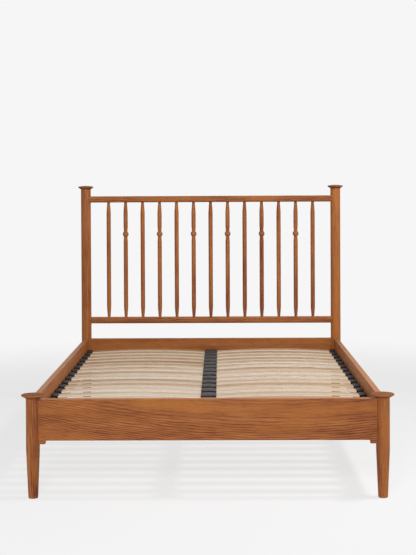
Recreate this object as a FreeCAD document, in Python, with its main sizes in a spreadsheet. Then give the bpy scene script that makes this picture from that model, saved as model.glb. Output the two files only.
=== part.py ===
import FreeCAD, Part
import math
import os

import Sketcher

# A double bed of stained hardwood: four round posts with button caps, a headboard of
# turned spindles between two rails, four deep bed rails, and a sprung slat base in
# two columns. Lengths in mm. The row frame has +X to the bed's right seen from the
# foot, +Y towards the head and +Z up, with the origin on the floor under the middle
# of the whole bed, caps included.

SIZES = {
    # Posts, measured between their axes; a foot post's rise is over the bed rails
    "post_spacing_across": 1400,
    "post_spacing_along": 1940,
    "post_diameter": 55,
    "post_toe_diameter": 39,
    "post_toe_round": 3,
    "post_taper_height": 192,
    "head_post_height": 1237,
    "foot_post_rise": 2,
    # Button caps, turned with a spigot that is glued into the post
    "head_cap_diameter": 86,
    "foot_cap_diameter": 92,
    "cap_height": 20,
    "cap_cone_height": 9,
    "cap_dome_rise": 4,
    "cap_spigot_diameter": 14,
    "cap_spigot_length": 32,
    # The four bed rails: head board, foot board and two sides. Their ends drop over a
    # reach from the post's surface
    "rail_top_height": 398,
    "rail_height": 166,
    "rail_thickness": 26,
    "rail_edge_round": 3,
    "rail_end_drop": 14,
    "rail_end_reach": 22.5,
    "rail_end_cove": 9,
    # Headboard rails: how far the upper one lies below the top of the head posts, and
    # the lower one over the bed rails
    "top_rail_drop": 39,
    "lower_rail_rise": 121,
    "headboard_rail_depth": 45,
    "headboard_rail_thickness": 35,
    "headboard_rail_round": 11,
    # Joints between rails and posts, with the wood left round the cap's spigot
    "tenon_thickness": 12,
    "tenon_wall": 1,
    "tenon_shoulder": 12,
    "headboard_tenon_thickness": 16,
    "headboard_tenon_shoulder": 6,
    "wood_gap": 0.1,
    # Spindles
    "spindle_diameter": 24,
    "spindle_end_diameter": 15.5,
    "spindle_taper_length": 66,
    "spindle_shoulder_run": 22,
    "spindle_shoulder_drop": 0.8,
    "spindle_tenon_diameter": 12,
    "spindle_tenon_length": 16,
    "spindle_end_space": 127.5,
    "bead_drop": 178,
    "bead_diameter": 33,
    "bead_half_height": 13.5,
    "bead_neck_diameter": 20.6,
    "bead_cove_length": 27,
    # Knock-down joint of the side rails: stud, half-moon washer, nut and two dowels.
    # Insets and depths are from the post's surface, drops from the rail's top
    "stud_rise": 30,
    "stud_diameter": 8,
    "stud_bore_diameter": 9,
    "stud_inset": 2,
    "stud_past_nut": 7.5,
    "insert_diameter": 12,
    "insert_length": 15,
    "insert_inset": 1.5,
    "pocket_reach": 38.5,
    "pocket_radius": 20,
    "pocket_past_stud": 8.5,
    "washer_thickness": 3,
    "washer_radius": 16,
    "washer_gap": 0.5,
    "nut_width": 13,
    "nut_thickness": 6.5,
    "dowel_diameter": 10,
    "dowel_length": 40,
    "dowel_depth": 14.5,
    "lower_dowel_drop": 93,
    "upper_dowel_drop": 38,
    "bore_gap": 0.15,
    # Ledgers screwed to the side rails, below their top
    "ledger_drop": 74,
    "ledger_width": 24,
    "ledger_height": 30,
    "ledger_end_gap": 4,
    # Slats and their holders. A holder closes round the slat's end with walls, and ends
    # in a back at the side rail or a web in the middle of the bed
    "slat_width": 60,
    "slat_thickness": 8,
    "slat_edge_chamfer": 1,
    "slat_camber": 12,
    "slat_insertion": 26,
    "slat_end_space": 76,
    "slat_gap": 0.3,
    "holder_wall": 3.2,
    "holder_floor": 3,
    "holder_roof": 2.5,
    "holder_round": 1.5,
    "side_holder_back": 5.7,
    "centre_holder_web": 15.4,
    "peg_diameter": 8,
    "peg_length": 12,
    # Centre rail, its hangers and its leg
    "centre_rail_width": 42,
    "centre_rail_height": 70,
    "centre_rail_round": 3,
    "hanger_sheet": 2,
    "hanger_reach": 36,
    "hanger_height": 52,
    "hanger_ear": 20,
    "hanger_gap": 0.3,
    "leg_place": 250,
    "leg_diameter": 44,
    "leg_toe_diameter": 36,
    "leg_bottom_height": 26,
    "leg_edge_round": 3,
    "hanger_bolt_length": 70,
    "leveller_pad_diameter": 38,
    "leveller_pad_height": 7,
    "leveller_pad_round": 2,
    "leveller_collar_width": 14,
    "leveller_collar_height": 7,
    "leveller_stem_length": 50,
    "leveller_travel": 6,
    "leveller_bore_diameter": 9,
    "thread_gap": 0.08,
    # Round-headed wood screws of the ledgers and the hangers
    "screw_diameter": 5,
    "screw_head_diameter": 10,
    "screw_head_height": 3.5,
    "ledger_screw_length": 40,
    "hanger_screw_length": 20,
    "ledger_screw_drop": 21,
    "ledger_screw_end_space": 150,
}

SPINDLES = 13
SLAT_ROWS = 16
LEDGER_SCREWS = 6

doc = FreeCAD.newDocument("spindle_bed")
sheet = doc.addObject("Spreadsheet::Sheet", "size")
for row, (alias, value) in enumerate(SIZES.items(), start=1):
    sheet.set(f"A{row}", alias)
    sheet.set(f"B{row}", str(value))
    sheet.setAlias(f"B{row}", alias)
doc.recompute()

parts = []


# ---------------------------------------------------------------- shared ways of making

def value_of(expression):
    """The number that an expression in sheet names comes to."""
    result = sheet.evalExpression(str(expression))
    return float(getattr(result, "Value", result))


def bind(thing, **expressions):
    """Bind properties of an object to expressions; a double underscore stands for a dot."""
    for name, expression in expressions.items():
        thing.setExpression(name.replace("__", "."), str(expression))


def new_body(label):
    """An empty body, listed as one sub-part."""
    body = doc.addObject("PartDesign::Body", label)
    body.Label = label
    parts.append(body)
    return body


def place(body, along_x="0", along_y="0", along_z="0", turn=0):
    """Set a body down in the row frame, turned about Z by whole degrees."""
    body.Placement = FreeCAD.Placement(
        FreeCAD.Vector(), FreeCAD.Rotation(FreeCAD.Vector(0, 0, 1), turn))
    bind(body, Placement__Base__x=along_x, Placement__Base__y=along_y,
         Placement__Base__z=along_z)


def new_sketch(body, role, offset="0"):
    """A sketch on one of the body's own origin planes, moved along its normal."""
    sketch = body.newObject("Sketcher::SketchObject", f"{body.Label}_sketch")
    plane = next(p for p in body.Origin.OriginFeatures if p.Role == role)
    sketch.AttachmentSupport = [(plane, "")]
    sketch.MapMode = "FlatFace"
    bind(sketch, AttachmentOffset__Base__z=offset)
    return sketch


def pin_point(sketch, geometry, end, across, up):
    """Hold one point of a sketch at a place given by two expressions."""
    for kind, axis, expression in (("DistanceX", -2, across), ("DistanceY", -1, up)):
        number = value_of(expression)
        if abs(number) < 1e-9:
            sketch.addConstraint(Sketcher.Constraint("PointOnObject", geometry, end, axis))
            continue
        index = sketch.addConstraint(
            Sketcher.Constraint(kind, -1, 1, geometry, end, number))
        sketch.setExpression(f"Constraints[{index}]", str(expression))


def add_arc(sketch, start, end, radius):
    """An arc under a half circle; a positive radius turns left on the way to the end."""
    size = abs(radius)
    middle = (start + end) / 2
    chord = end - start
    rise = math.sqrt(max(size ** 2 - (chord.Length / 2) ** 2, 0))
    side = FreeCAD.Vector(-chord.y, chord.x, 0).normalize() * math.copysign(rise, radius)
    centre = middle + side
    angles = [math.atan2(p.y - centre.y, p.x - centre.x) for p in (start, end)]
    if radius < 0:
        angles.reverse()
    circle = Part.Circle(centre, FreeCAD.Vector(0, 0, 1), size)
    return sketch.addGeometry(Part.ArcOfCircle(circle, *angles), False)


def outline(sketch, points):
    """A closed outline. Each point is (across, up), or (across, up, radius) where an
    arc of that radius leads to it from the point before."""
    spots = [FreeCAD.Vector(value_of(p[0]), value_of(p[1]), 0) for p in points]
    ends = []
    for index, point in enumerate(points):
        start, end = spots[index - 1], spots[index]
        if len(point) == 2:
            geometry = sketch.addGeometry(Part.LineSegment(start, end), False)
            ends.append((geometry, 1, 2))
            continue
        radius = value_of(point[2])
        geometry = add_arc(sketch, start, end, radius)
        ends.append((geometry, 1, 2) if radius > 0 else (geometry, 2, 1))
        size = sketch.addConstraint(
            Sketcher.Constraint("Radius", geometry, abs(radius)))
        sketch.setExpression(f"Constraints[{size}]", f"abs({point[2]})")
    for index, point in enumerate(points):
        geometry, _, last = ends[index]
        following, first, _ = ends[(index + 1) % len(points)]
        sketch.addConstraint(
            Sketcher.Constraint("Coincident", geometry, last, following, first))
        pin_point(sketch, geometry, last, point[0], point[1])


def box_outline(sketch, low_x, high_x, low_y, high_y):
    """A rectangle between two pairs of expressions."""
    outline(sketch, [(low_x, low_y), (high_x, low_y), (high_x, high_y), (low_x, high_y)])


def circle(sketch, across, up, diameter):
    """A circle at a place given by two expressions."""
    centre = FreeCAD.Vector(value_of(across), value_of(up), 0)
    ring = Part.Circle(centre, FreeCAD.Vector(0, 0, 1), value_of(diameter) / 2)
    geometry = sketch.addGeometry(ring, False)
    index = sketch.addConstraint(
        Sketcher.Constraint("Diameter", geometry, value_of(diameter)))
    sketch.setExpression(f"Constraints[{index}]", str(diameter))
    pin_point(sketch, geometry, 3, across, up)


def revolve(body, points):
    """Turn an outline of (radius, height) points about Z."""
    sketch = new_sketch(body, "XZ_Plane")
    outline(sketch, points)
    turned = body.newObject("PartDesign::Revolution", f"{body.Label}_turning")
    turned.Profile = sketch
    turned.ReferenceAxis = (sketch, ["V_Axis"])
    turned.Angle = 360
    body.Tip = turned
    return turned


def pad(body, sketch, length, middle=False, reverse=False):
    """Raise a sketch into wood, plastic or steel."""
    raised = body.newObject("PartDesign::Pad", f"{body.Label}_pad")
    raised.Profile = sketch
    raised.Midplane = middle
    raised.Reversed = reverse
    bind(raised, Length=length)
    body.Tip = raised
    return raised


def pocket(body, sketch, length, reverse=False, middle=False):
    """Cut a sketch into the body, and make sure that it took material away."""
    doc.recompute()
    before = body.Shape.Volume
    cut = body.newObject("PartDesign::Pocket", f"{body.Label}_cut")
    cut.Profile = sketch
    cut.Midplane = middle
    cut.Reversed = reverse
    bind(cut, Length=length)
    body.Tip = cut
    doc.recompute()
    if not body.Shape.Volume < before:
        raise RuntimeError(f"a cut in {body.Label} removes nothing")
    return cut


def dress_edges(body, kind, wanted, **size):
    """Add a Fillet or a Chamfer to every edge of the body that the test picks out."""
    doc.recompute()
    base = body.Tip
    names = [f"Edge{number}" for number, edge in enumerate(base.Shape.Edges, start=1)
             if wanted(edge)]
    dressed = body.newObject(f"PartDesign::{kind}", f"{body.Label}_{kind.lower()}")
    dressed.Base = (base, names)
    bind(dressed, **size)
    body.Tip = dressed
    return dressed


def along(edge, axis):
    """Whether an edge is straight and runs along one axis."""
    if not isinstance(edge.Curve, Part.Line):
        return False
    return abs(getattr(edge.Curve.Direction, axis)) > 0.999


def repeat(body, features, role, count, spacing):
    """Repeat features along one of the body's own axes."""
    pattern = body.newObject("PartDesign::LinearPattern", f"{body.Label}_row")
    pattern.Originals = features
    axis = next(a for a in body.Origin.OriginFeatures if a.Role == role)
    pattern.Direction = (axis, [""])
    pattern.Occurrences = count
    pattern.Mode = "Spacing"
    bind(pattern, Offset=spacing)
    body.Tip = pattern
    return pattern


def mirror(body, features, role):
    """Mirror features in one of the body's own planes."""
    mirrored = body.newObject("PartDesign::Mirrored", f"{body.Label}_mirror")
    mirrored.Originals = features
    plane = next(p for p in body.Origin.OriginFeatures if p.Role == role)
    mirrored.MirrorPlane = (plane, [""])
    body.Tip = mirrored
    return mirrored


def copy_about(body, features, *transformations):
    """Copy features by several transformations in turn. Each is the role of one of the
    body's own planes, or (role of an axis, count, spacing) for a row."""
    several = body.newObject("PartDesign::MultiTransform", f"{body.Label}_copies")
    steps = []
    for step in transformations:
        role = step if isinstance(step, str) else step[0]
        datum = next(d for d in body.Origin.OriginFeatures if d.Role == role)
        if isinstance(step, str):
            moved = body.newObject("PartDesign::Mirrored", f"{body.Label}_mirror")
            moved.MirrorPlane = (datum, [""])
        else:
            moved = body.newObject("PartDesign::LinearPattern", f"{body.Label}_row")
            moved.Direction = (datum, [""])
            moved.Occurrences = step[1]
            moved.Mode = "Spacing"
            bind(moved, Offset=step[2])
        steps.append(moved)
    several.Originals = features
    several.Transformations = steps
    body.Tip = several
    return several


# ---------------------------------------------------------------- places in the row frame

POST_X = "size.post_spacing_across / 2"
MIDDLE_Y = "(size.foot_cap_diameter - size.head_cap_diameter) / 4"
HALF_LENGTH = "size.post_spacing_along / 2"
FOOT_Y = f"({MIDDLE_Y} - {HALF_LENGTH})"
HEAD_Y = f"({MIDDLE_Y} + {HALF_LENGTH})"
POST_RADIUS = "size.post_diameter / 2"
RAIL_BOTTOM = "(size.rail_top_height - size.rail_height)"
FOOT_POST_TOP = "(size.rail_top_height + size.foot_post_rise)"
HEAD_POST_TOP = "size.head_post_height"
TOP_RAIL_TOP = f"({HEAD_POST_TOP} - size.top_rail_drop)"
LOWER_RAIL_TOP = "(size.rail_top_height + size.lower_rail_rise)"
LEDGER_TOP = "(size.rail_top_height - size.ledger_drop)"
INNER_HALF_WIDTH = "(size.post_spacing_across - size.rail_thickness) / 2"
INNER_HALF_LENGTH = "(size.post_spacing_along - size.rail_thickness) / 2"
SIDES = (("left", -1), ("right", 1))
CENTRE_RAIL_BOTTOM = f"({LEDGER_TOP} - size.centre_rail_height)"
HANGER_HALF_WIDTH = "(size.centre_rail_width / 2 + size.hanger_gap + size.hanger_sheet)"
HANGER_SCREW_X = f"({HANGER_HALF_WIDTH} + size.hanger_ear / 2)"
HANGER_SCREW_HEIGHT = f"({CENTRE_RAIL_BOTTOM} + size.hanger_height / 2)"
LEDGER_SCREW_HEIGHT = f"({LEDGER_TOP} - size.ledger_screw_drop)"
LEDGER_SCREW_SPREAD = f"({HALF_LENGTH} - size.ledger_screw_end_space)"
LEDGER_SCREW_PITCH = f"(2 * {LEDGER_SCREW_SPREAD} / {LEDGER_SCREWS - 1})"

# The side rails' joints: heights, and distances from a post's axis
STUD_HEIGHT = f"({RAIL_BOTTOM} + size.stud_rise)"
DOWEL_HEIGHTS = [f"(size.rail_top_height - size.{name}_dowel_drop)"
                 for name in ("lower", "upper")]
TENON_END = "(size.cap_spigot_diameter / 2 + size.tenon_wall)"
INSERT_START = f"({POST_RADIUS} - size.insert_inset - size.insert_length)"
STUD_START = f"({INSERT_START} + size.stud_inset)"
DOWEL_START = f"({POST_RADIUS} - size.dowel_depth)"
POCKET_START = f"({POST_RADIUS} + size.pocket_reach)"
NUT_START = f"({POCKET_START} + size.washer_thickness)"
STUD_END = f"({NUT_START} + size.nut_thickness + size.stud_past_nut)"
POCKET_DEPTH = "(size.rail_thickness / 2 + size.pocket_past_stud)"


# ---------------------------------------------------------------- posts and caps

def tenon_spans():
    """The heights between which each kind of rail's tenon enters a post."""
    bed_rail = (f"{RAIL_BOTTOM} + size.tenon_shoulder",
                "size.rail_top_height - size.tenon_shoulder")
    thickness = "size.headboard_rail_thickness"
    shoulder = "size.headboard_tenon_shoulder"
    headboard = [(f"{top} - {thickness} + {shoulder}", f"{top} - {shoulder}")
                 for top in (TOP_RAIL_TOP, LOWER_RAIL_TOP)]
    return bed_rail, headboard


def mortise(body, side, thickness, low, high):
    """A blind slot in a post for a tenon that comes from the bed's middle."""
    sketch = new_sketch(body, "YZ_Plane", f"{-side} * ({TENON_END} - size.wood_gap)")
    half = f"({thickness} / 2 + size.wood_gap)"
    box_outline(sketch, f"-{half}", half, f"{low} - size.wood_gap", f"{high} + size.wood_gap")
    pocket(body, sketch, POST_RADIUS, reverse=side < 0)


def side_rail_bores(body, facing):
    """Bores in a post for a side rail's insert and dowels. Facing is +1 where the side
    rail lies towards the head."""
    bores = (
        (f"{INSERT_START} - size.thread_gap", "size.insert_diameter", [STUD_HEIGHT]),
        (f"{DOWEL_START} - size.bore_gap", "size.dowel_diameter", DOWEL_HEIGHTS),
    )
    for start, diameter, heights in bores:
        sketch = new_sketch(body, "XZ_Plane", f"{-facing} * ({start})")
        for height in heights:
            circle(sketch, "0", height, f"{diameter} + 2 * size.bore_gap")
        pocket(body, sketch, POST_RADIUS, reverse=facing < 0)


def post(end, name, side, facing, height):
    """A turned post: straight above, tapered to its toe, with a bore for its cap."""
    body = new_body(f"{end}_post_{name}")
    toe = "size.post_toe_diameter / 2"
    bore = "(size.cap_spigot_diameter / 2 + size.wood_gap)"
    bore_floor = f"{height} - size.cap_spigot_length - size.wood_gap"
    revolve(body, [
        ("0", "0"),
        (f"{toe} - size.post_toe_round", "0"),
        (toe, "size.post_toe_round", "size.post_toe_round"),
        (POST_RADIUS, "size.post_taper_height"),
        (POST_RADIUS, height),
        (bore, height),
        (bore, bore_floor),
        ("0", bore_floor),
    ])
    bed_rail, headboard = tenon_spans()
    mortise(body, side, "size.tenon_thickness", *bed_rail)
    if end == "head":
        for span in headboard:
            mortise(body, side, "size.headboard_tenon_thickness", *span)
    side_rail_bores(body, facing)
    place(body, f"{side} * {POST_X}", FOOT_Y if end == "foot" else HEAD_Y)


def cap(end, name, side, height, diameter):
    """A turned button cap: a shallow cone under a rounded rim and a low dome."""
    body = new_body(f"{end}_cap_{name}")
    rim_top = "(size.cap_height - size.cap_dome_rise)"
    rim_round = f"(({rim_top} - size.cap_cone_height) / 2)"
    rim_edge = f"({diameter} / 2 - {rim_round})"
    dome = (f"(({rim_edge} * {rim_edge} + size.cap_dome_rise * size.cap_dome_rise)"
            " / (2 * size.cap_dome_rise))")
    spigot = "size.cap_spigot_diameter / 2"
    revolve(body, [
        ("0", "-size.cap_spigot_length"),
        (spigot, "-size.cap_spigot_length"),
        (spigot, "0"),
        (POST_RADIUS, "0"),
        (rim_edge, "size.cap_cone_height"),
        (f"{diameter} / 2", f"size.cap_cone_height + {rim_round}", rim_round),
        (rim_edge, rim_top, rim_round),
        ("0", "size.cap_height", dome),
    ])
    place(body, f"{side} * {POST_X}", FOOT_Y if end == "foot" else HEAD_Y, height)


for end, facing, height in (("foot", 1, FOOT_POST_TOP), ("head", -1, HEAD_POST_TOP)):
    for name, side in SIDES:
        post(end, name, side, facing, height)
        cap(end, name, side, height, f"size.{end}_cap_diameter")


# ---------------------------------------------------------------- bed rails

def cope_ends(body, spacing):
    """Hollow both ends of a rail to fit round the posts."""
    sketch = new_sketch(body, "XY_Plane")
    for side in (-1, 1):
        circle(sketch, f"{side} * {spacing} / 2", "0", "size.post_diameter + 2 * size.wood_gap")
    pocket(body, sketch, "2 * size.head_post_height", middle=True)


def stub_tenons(body, spacing, thickness, low, high):
    """A tenon on each end of a rail, made as one bar through its middle."""
    sketch = new_sketch(body, "YZ_Plane")
    box_outline(sketch, f"-{thickness} / 2", f"{thickness} / 2", low, high)
    pad(body, sketch, f"{spacing} - 2 * {TENON_END}", middle=True)


def board(label, spacing):
    """A deep bed rail whose ends drop below its long straight edge, each with a cove."""
    body = new_body(label)
    sketch = new_sketch(body, "XZ_Plane")
    half = f"({spacing} / 2)"
    block = f"({half} - {POST_RADIUS} - size.rail_end_reach)"
    low = f"({RAIL_BOTTOM} - size.rail_end_drop)"
    cove_foot = f"{RAIL_BOTTOM} - size.rail_end_cove"
    outline(sketch, [
        (f"-{half}", low),
        (f"-{block}", low),
        (f"-{block}", cove_foot),
        (f"-{block} + size.rail_end_cove", RAIL_BOTTOM, "-size.rail_end_cove"),
        (f"{block} - size.rail_end_cove", RAIL_BOTTOM),
        (block, cove_foot, "-size.rail_end_cove"),
        (block, low),
        (half, low),
        (half, "size.rail_top_height"),
        (f"-{half}", "size.rail_top_height"),
    ])
    pad(body, sketch, "size.rail_thickness", middle=True)
    top = value_of("size.rail_top_height")
    dress_edges(body, "Fillet",
                lambda edge: along(edge, "x") and abs(edge.BoundBox.ZMax - top) < 0.01,
                Radius="size.rail_edge_round")
    cope_ends(body, spacing)
    return body


def screw_hole(body, inner_side, along_rail, height, depth):
    """A bore for one wood screw in the inner face of a bed rail. The inner face is on
    the body's own +Y side (+1) or its -Y side (-1)."""
    sketch = new_sketch(body, "XZ_Plane", f"{-inner_side} * size.rail_thickness / 2")
    circle(sketch, along_rail, height, "size.screw_diameter + 2 * size.bore_gap")
    return pocket(body, sketch, f"{depth} + size.bore_gap", reverse=inner_side > 0)


def cross_board(label, centre_y, inner_side):
    """The head or foot board, tenoned and glued into its two posts, and bored for the
    screws of the centre rail's hanger."""
    body = board(label, "size.post_spacing_across")
    bed_rail, _ = tenon_spans()
    stub_tenons(body, "size.post_spacing_across", "size.tenon_thickness", *bed_rail)
    depth = "(size.hanger_screw_length - size.hanger_sheet)"
    bored = screw_hole(body, inner_side, HANGER_SCREW_X, HANGER_SCREW_HEIGHT, depth)
    mirror(body, [bored], "YZ_Plane")
    place(body, "0", centre_y)


def side_board(name, side):
    """A side rail, bored at both ends for its stud and dowels, with a half-moon pocket
    in its inner face where the nut is turned. Its own +X runs towards the head."""
    spacing = "size.post_spacing_along"
    body = board(f"side_rail_{name}", spacing)
    inner = f"{side} * size.rail_thickness / 2"
    for end in (-1, 1):
        bores = (
            (POCKET_START, "size.stud_bore_diameter", [STUD_HEIGHT]),
            (f"{DOWEL_START} + size.dowel_length + size.bore_gap",
             "size.dowel_diameter + 2 * size.bore_gap", DOWEL_HEIGHTS),
        )
        for reach, diameter, heights in bores:
            sketch = new_sketch(body, "YZ_Plane", f"{end} * {spacing} / 2")
            for height in heights:
                circle(sketch, "0", height, diameter)
            pocket(body, sketch, reach, reverse=end < 0)
        flat = f"{end} * ({spacing} / 2 - {POCKET_START})"
        moon = new_sketch(body, "XZ_Plane", f"-({inner})")
        top = f"({STUD_HEIGHT} + size.pocket_radius)"
        bottom = f"({STUD_HEIGHT} - size.pocket_radius)"
        deepest = f"{end} * ({spacing} / 2 - {POCKET_START} - size.pocket_radius)"
        turn = "" if end > 0 else "-"
        outline(moon, [
            (flat, bottom, f"{turn}size.pocket_radius"),
            (flat, top),
            (deepest, STUD_HEIGHT, f"{turn}size.pocket_radius"),
        ])
        pocket(body, moon, POCKET_DEPTH, reverse=side > 0)
    depth = "(size.ledger_screw_length - size.ledger_width)"
    bored = screw_hole(body, side, f"-{LEDGER_SCREW_SPREAD}", LEDGER_SCREW_HEIGHT, depth)
    repeat(body, [bored], "X_Axis", LEDGER_SCREWS, LEDGER_SCREW_PITCH)
    place(body, f"{side} * {POST_X}", MIDDLE_Y, turn=90)


cross_board("foot_rail", FOOT_Y, 1)
cross_board("head_rail", HEAD_Y, -1)
for name, side in SIDES:
    side_board(name, side)


# ---------------------------------------------------------------- headboard

CLEAR_HALF_SPREAD = "(size.post_spacing_across / 2 - size.spindle_end_space)"
SPINDLE_PITCH = f"(2 * {CLEAR_HALF_SPREAD} / {SPINDLES - 1})"
TOP_RAIL_BOTTOM = f"({TOP_RAIL_TOP} - size.headboard_rail_thickness)"


def headboard_rail(label, height, hole_face, hole_side):
    """A headboard rail with well-rounded edges and a row of round spindle mortises.
    The holes open in the face at one height, up (+1) or down (-1)."""
    body = new_body(label)
    sketch = new_sketch(body, "YZ_Plane")
    half = "size.headboard_rail_depth / 2"
    bottom = f"({height} - size.headboard_rail_thickness)"
    curve = "size.headboard_rail_round"
    outline(sketch, [
        (f"-{half} + {curve}", bottom, curve),
        (f"{half} - {curve}", bottom),
        (half, f"{bottom} + {curve}", curve),
        (half, f"{height} - {curve}"),
        (f"{half} - {curve}", height, curve),
        (f"-{half} + {curve}", height),
        (f"-{half}", f"{height} - {curve}", curve),
        (f"-{half}", f"{bottom} + {curve}"),
    ])
    spacing = "size.post_spacing_across"
    pad(body, sketch, spacing, middle=True)
    cope_ends(body, spacing)
    shoulder = "size.headboard_tenon_shoulder"
    stub_tenons(body, spacing, "size.headboard_tenon_thickness",
                f"{bottom} + {shoulder}", f"{height} - {shoulder}")
    hole = new_sketch(body, "XY_Plane", hole_face)
    circle(hole, f"-{CLEAR_HALF_SPREAD}", "0",
           "size.spindle_tenon_diameter + 2 * size.wood_gap")
    depth = "size.spindle_tenon_length + size.wood_gap"
    bored = pocket(body, hole, depth, reverse=hole_side < 0)
    repeat(body, [bored], "X_Axis", SPINDLES, SPINDLE_PITCH)
    place(body, "0", HEAD_Y)


def spindle(number):
    """One turned spindle. Every second one has a bead near its top."""
    body = new_body(f"spindle_{number:02d}")
    length = f"({TOP_RAIL_BOTTOM} - {LOWER_RAIL_TOP})"
    tenon = "size.spindle_tenon_diameter / 2"
    tip = "size.spindle_end_diameter / 2"
    full = "(size.spindle_diameter / 2)"
    below = f"({full} - size.spindle_shoulder_drop)"
    run, drop = "size.spindle_shoulder_run", "size.spindle_shoulder_drop"
    shoulder = f"(({run} * {run} + {drop} * {drop}) / (2 * {drop}))"
    start = f"(size.spindle_taper_length - {run})"
    profile = [
        ("0", "-size.spindle_tenon_length"),
        (tenon, "-size.spindle_tenon_length"),
        (tenon, "0"),
        (tip, "0"),
        (below, start),
        (full, "size.spindle_taper_length", shoulder),
    ]
    if number % 2 == 0:
        centre = f"({length} - size.bead_drop)"
        neck = "(size.bead_neck_diameter / 2)"
        reach = "size.bead_half_height"
        swell = f"(size.bead_diameter / 2 - {neck})"
        bead = f"(({reach} * {reach} + {swell} * {swell}) / (2 * {swell}))"
        cove, lift = "size.bead_cove_length", f"({full} - {neck})"
        hollow = f"(({cove} * {cove} + {lift} * {lift}) / (2 * {lift}))"
        profile += [
            (full, f"{centre} - {reach} - {cove}"),
            (neck, f"{centre} - {reach}", f"-{hollow}"),
            ("size.bead_diameter / 2", centre, bead),
            (neck, f"{centre} + {reach}", bead),
            (full, f"{centre} + {reach} + {cove}", f"-{hollow}"),
        ]
    profile += [
        (full, f"{length} - size.spindle_taper_length"),
        (below, f"{length} - {start}", shoulder),
        (tip, length),
        (tenon, length),
        (tenon, f"{length} + size.spindle_tenon_length"),
        ("0", f"{length} + size.spindle_tenon_length"),
    ]
    revolve(body, profile)
    place(body, f"-{CLEAR_HALF_SPREAD} + {number - 1} * {SPINDLE_PITCH}", HEAD_Y,
          LOWER_RAIL_TOP)


headboard_rail("headboard_top_rail", TOP_RAIL_TOP, TOP_RAIL_BOTTOM, -1)
headboard_rail("headboard_lower_rail", LOWER_RAIL_TOP, LOWER_RAIL_TOP, 1)
for number in range(1, SPINDLES + 1):
    spindle(number)


# ---------------------------------------------------------------- slats and holders

ROW_SPREAD = f"({INNER_HALF_LENGTH} - size.slat_end_space)"
ROW_PITCH = f"(2 * {ROW_SPREAD} / {SLAT_ROWS - 1})"
SLAT_OUTER = f"({INNER_HALF_WIDTH} - size.side_holder_back - size.slat_gap)"
SLAT_INNER = "(size.centre_holder_web / 2 + size.slat_gap)"
SLAT_BOTTOM = f"({LEDGER_TOP} + size.holder_floor + size.slat_gap)"
# How far a cambered slat has risen where it leaves its holder
SLAT_SPAN = f"({SLAT_OUTER} - {SLAT_INNER})"
SLAT_RISE = (f"(4 * size.slat_camber * size.slat_insertion / {SLAT_SPAN}"
             f" * (1 - size.slat_insertion / {SLAT_SPAN}))")
SOCKET_TOP = f"({SLAT_BOTTOM} + size.slat_thickness + {SLAT_RISE} + size.slat_gap)"
HOLDER_TOP = f"({SOCKET_TOP} + size.holder_roof)"
SOCKET_HALF_WIDTH = "(size.slat_width / 2 + size.slat_gap)"
HOLDER_HALF_WIDTH = f"({SOCKET_HALF_WIDTH} + size.holder_wall)"
SIDE_MOUTH = f"({SLAT_OUTER} - size.slat_insertion)"
CENTRE_MOUTH = f"({SLAT_INNER} + size.slat_insertion)"


def slat_row(number):
    """A pair of sprung slats, bent up in the middle, one each side of the centre rail."""
    body = new_body(f"slat_row_{number:02d}")
    sketch = new_sketch(body, "XZ_Plane")
    half, camber = f"({SLAT_SPAN} / 2)", "size.slat_camber"
    bend = f"(({half} * {half} + {camber} * {camber}) / (2 * {camber}))"
    top = f"{SLAT_BOTTOM} + size.slat_thickness"
    outline(sketch, [
        (SLAT_INNER, SLAT_BOTTOM),
        (SLAT_OUTER, SLAT_BOTTOM, f"-{bend}"),
        (SLAT_OUTER, top),
        (SLAT_INNER, top, bend),
    ])
    bent = pad(body, sketch, "size.slat_width", middle=True)
    width = value_of("size.slat_width")
    eased = dress_edges(
        body, "Chamfer",
        lambda edge: edge.BoundBox.YLength < 0.01 and edge.BoundBox.XLength > width,
        Size="size.slat_edge_chamfer")
    mirror(body, [bent, eased], "YZ_Plane")
    place(body, "0", f"{MIDDLE_Y} - {ROW_SPREAD} + {number - 1} * {ROW_PITCH}")


def holder_block(body, low_x, high_x):
    """The moulded block of one slat holder, at the foot end of its row."""
    sketch = new_sketch(body, "XY_Plane", LEDGER_TOP)
    row, half = f"-{ROW_SPREAD}", HOLDER_HALF_WIDTH
    box_outline(sketch, low_x, high_x, f"{row} - {half}", f"{row} + {half}")
    pad(body, sketch, f"{HOLDER_TOP} - {LEDGER_TOP}")
    top = value_of(HOLDER_TOP)
    return dress_edges(body, "Fillet", lambda edge: edge.BoundBox.ZMin > top - 0.01,
                       Radius="size.holder_round")


def holder_socket(body, mouth, side):
    """The socket that a slat end slides into, open on the slat's side."""
    sketch = new_sketch(body, "YZ_Plane", mouth)
    row, half = f"-{ROW_SPREAD}", SOCKET_HALF_WIDTH
    box_outline(sketch, f"{row} - {half}", f"{row} + {half}",
                f"{SLAT_BOTTOM} - size.slat_gap", SOCKET_TOP)
    return pocket(body, sketch, "size.slat_insertion + size.slat_gap", reverse=side > 0)


def holder_peg(body, across):
    """The peg under a holder, pushed into the rail that carries it."""
    sketch = new_sketch(body, "XY_Plane", LEDGER_TOP)
    circle(sketch, across, f"-{ROW_SPREAD}", "size.peg_diameter")
    return pad(body, sketch, "size.peg_length", reverse=True)


def repeat_row(body):
    """Repeat the holder made so far once for every row of slats."""
    features = [f for f in body.Group if not f.isDerivedFrom("Sketcher::SketchObject")]
    repeat(body, features, "Y_Axis", SLAT_ROWS, ROW_PITCH)
    place(body, "0", MIDDLE_Y)


LEDGER_MIDDLE = f"({INNER_HALF_WIDTH} - size.ledger_width / 2)"


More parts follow.
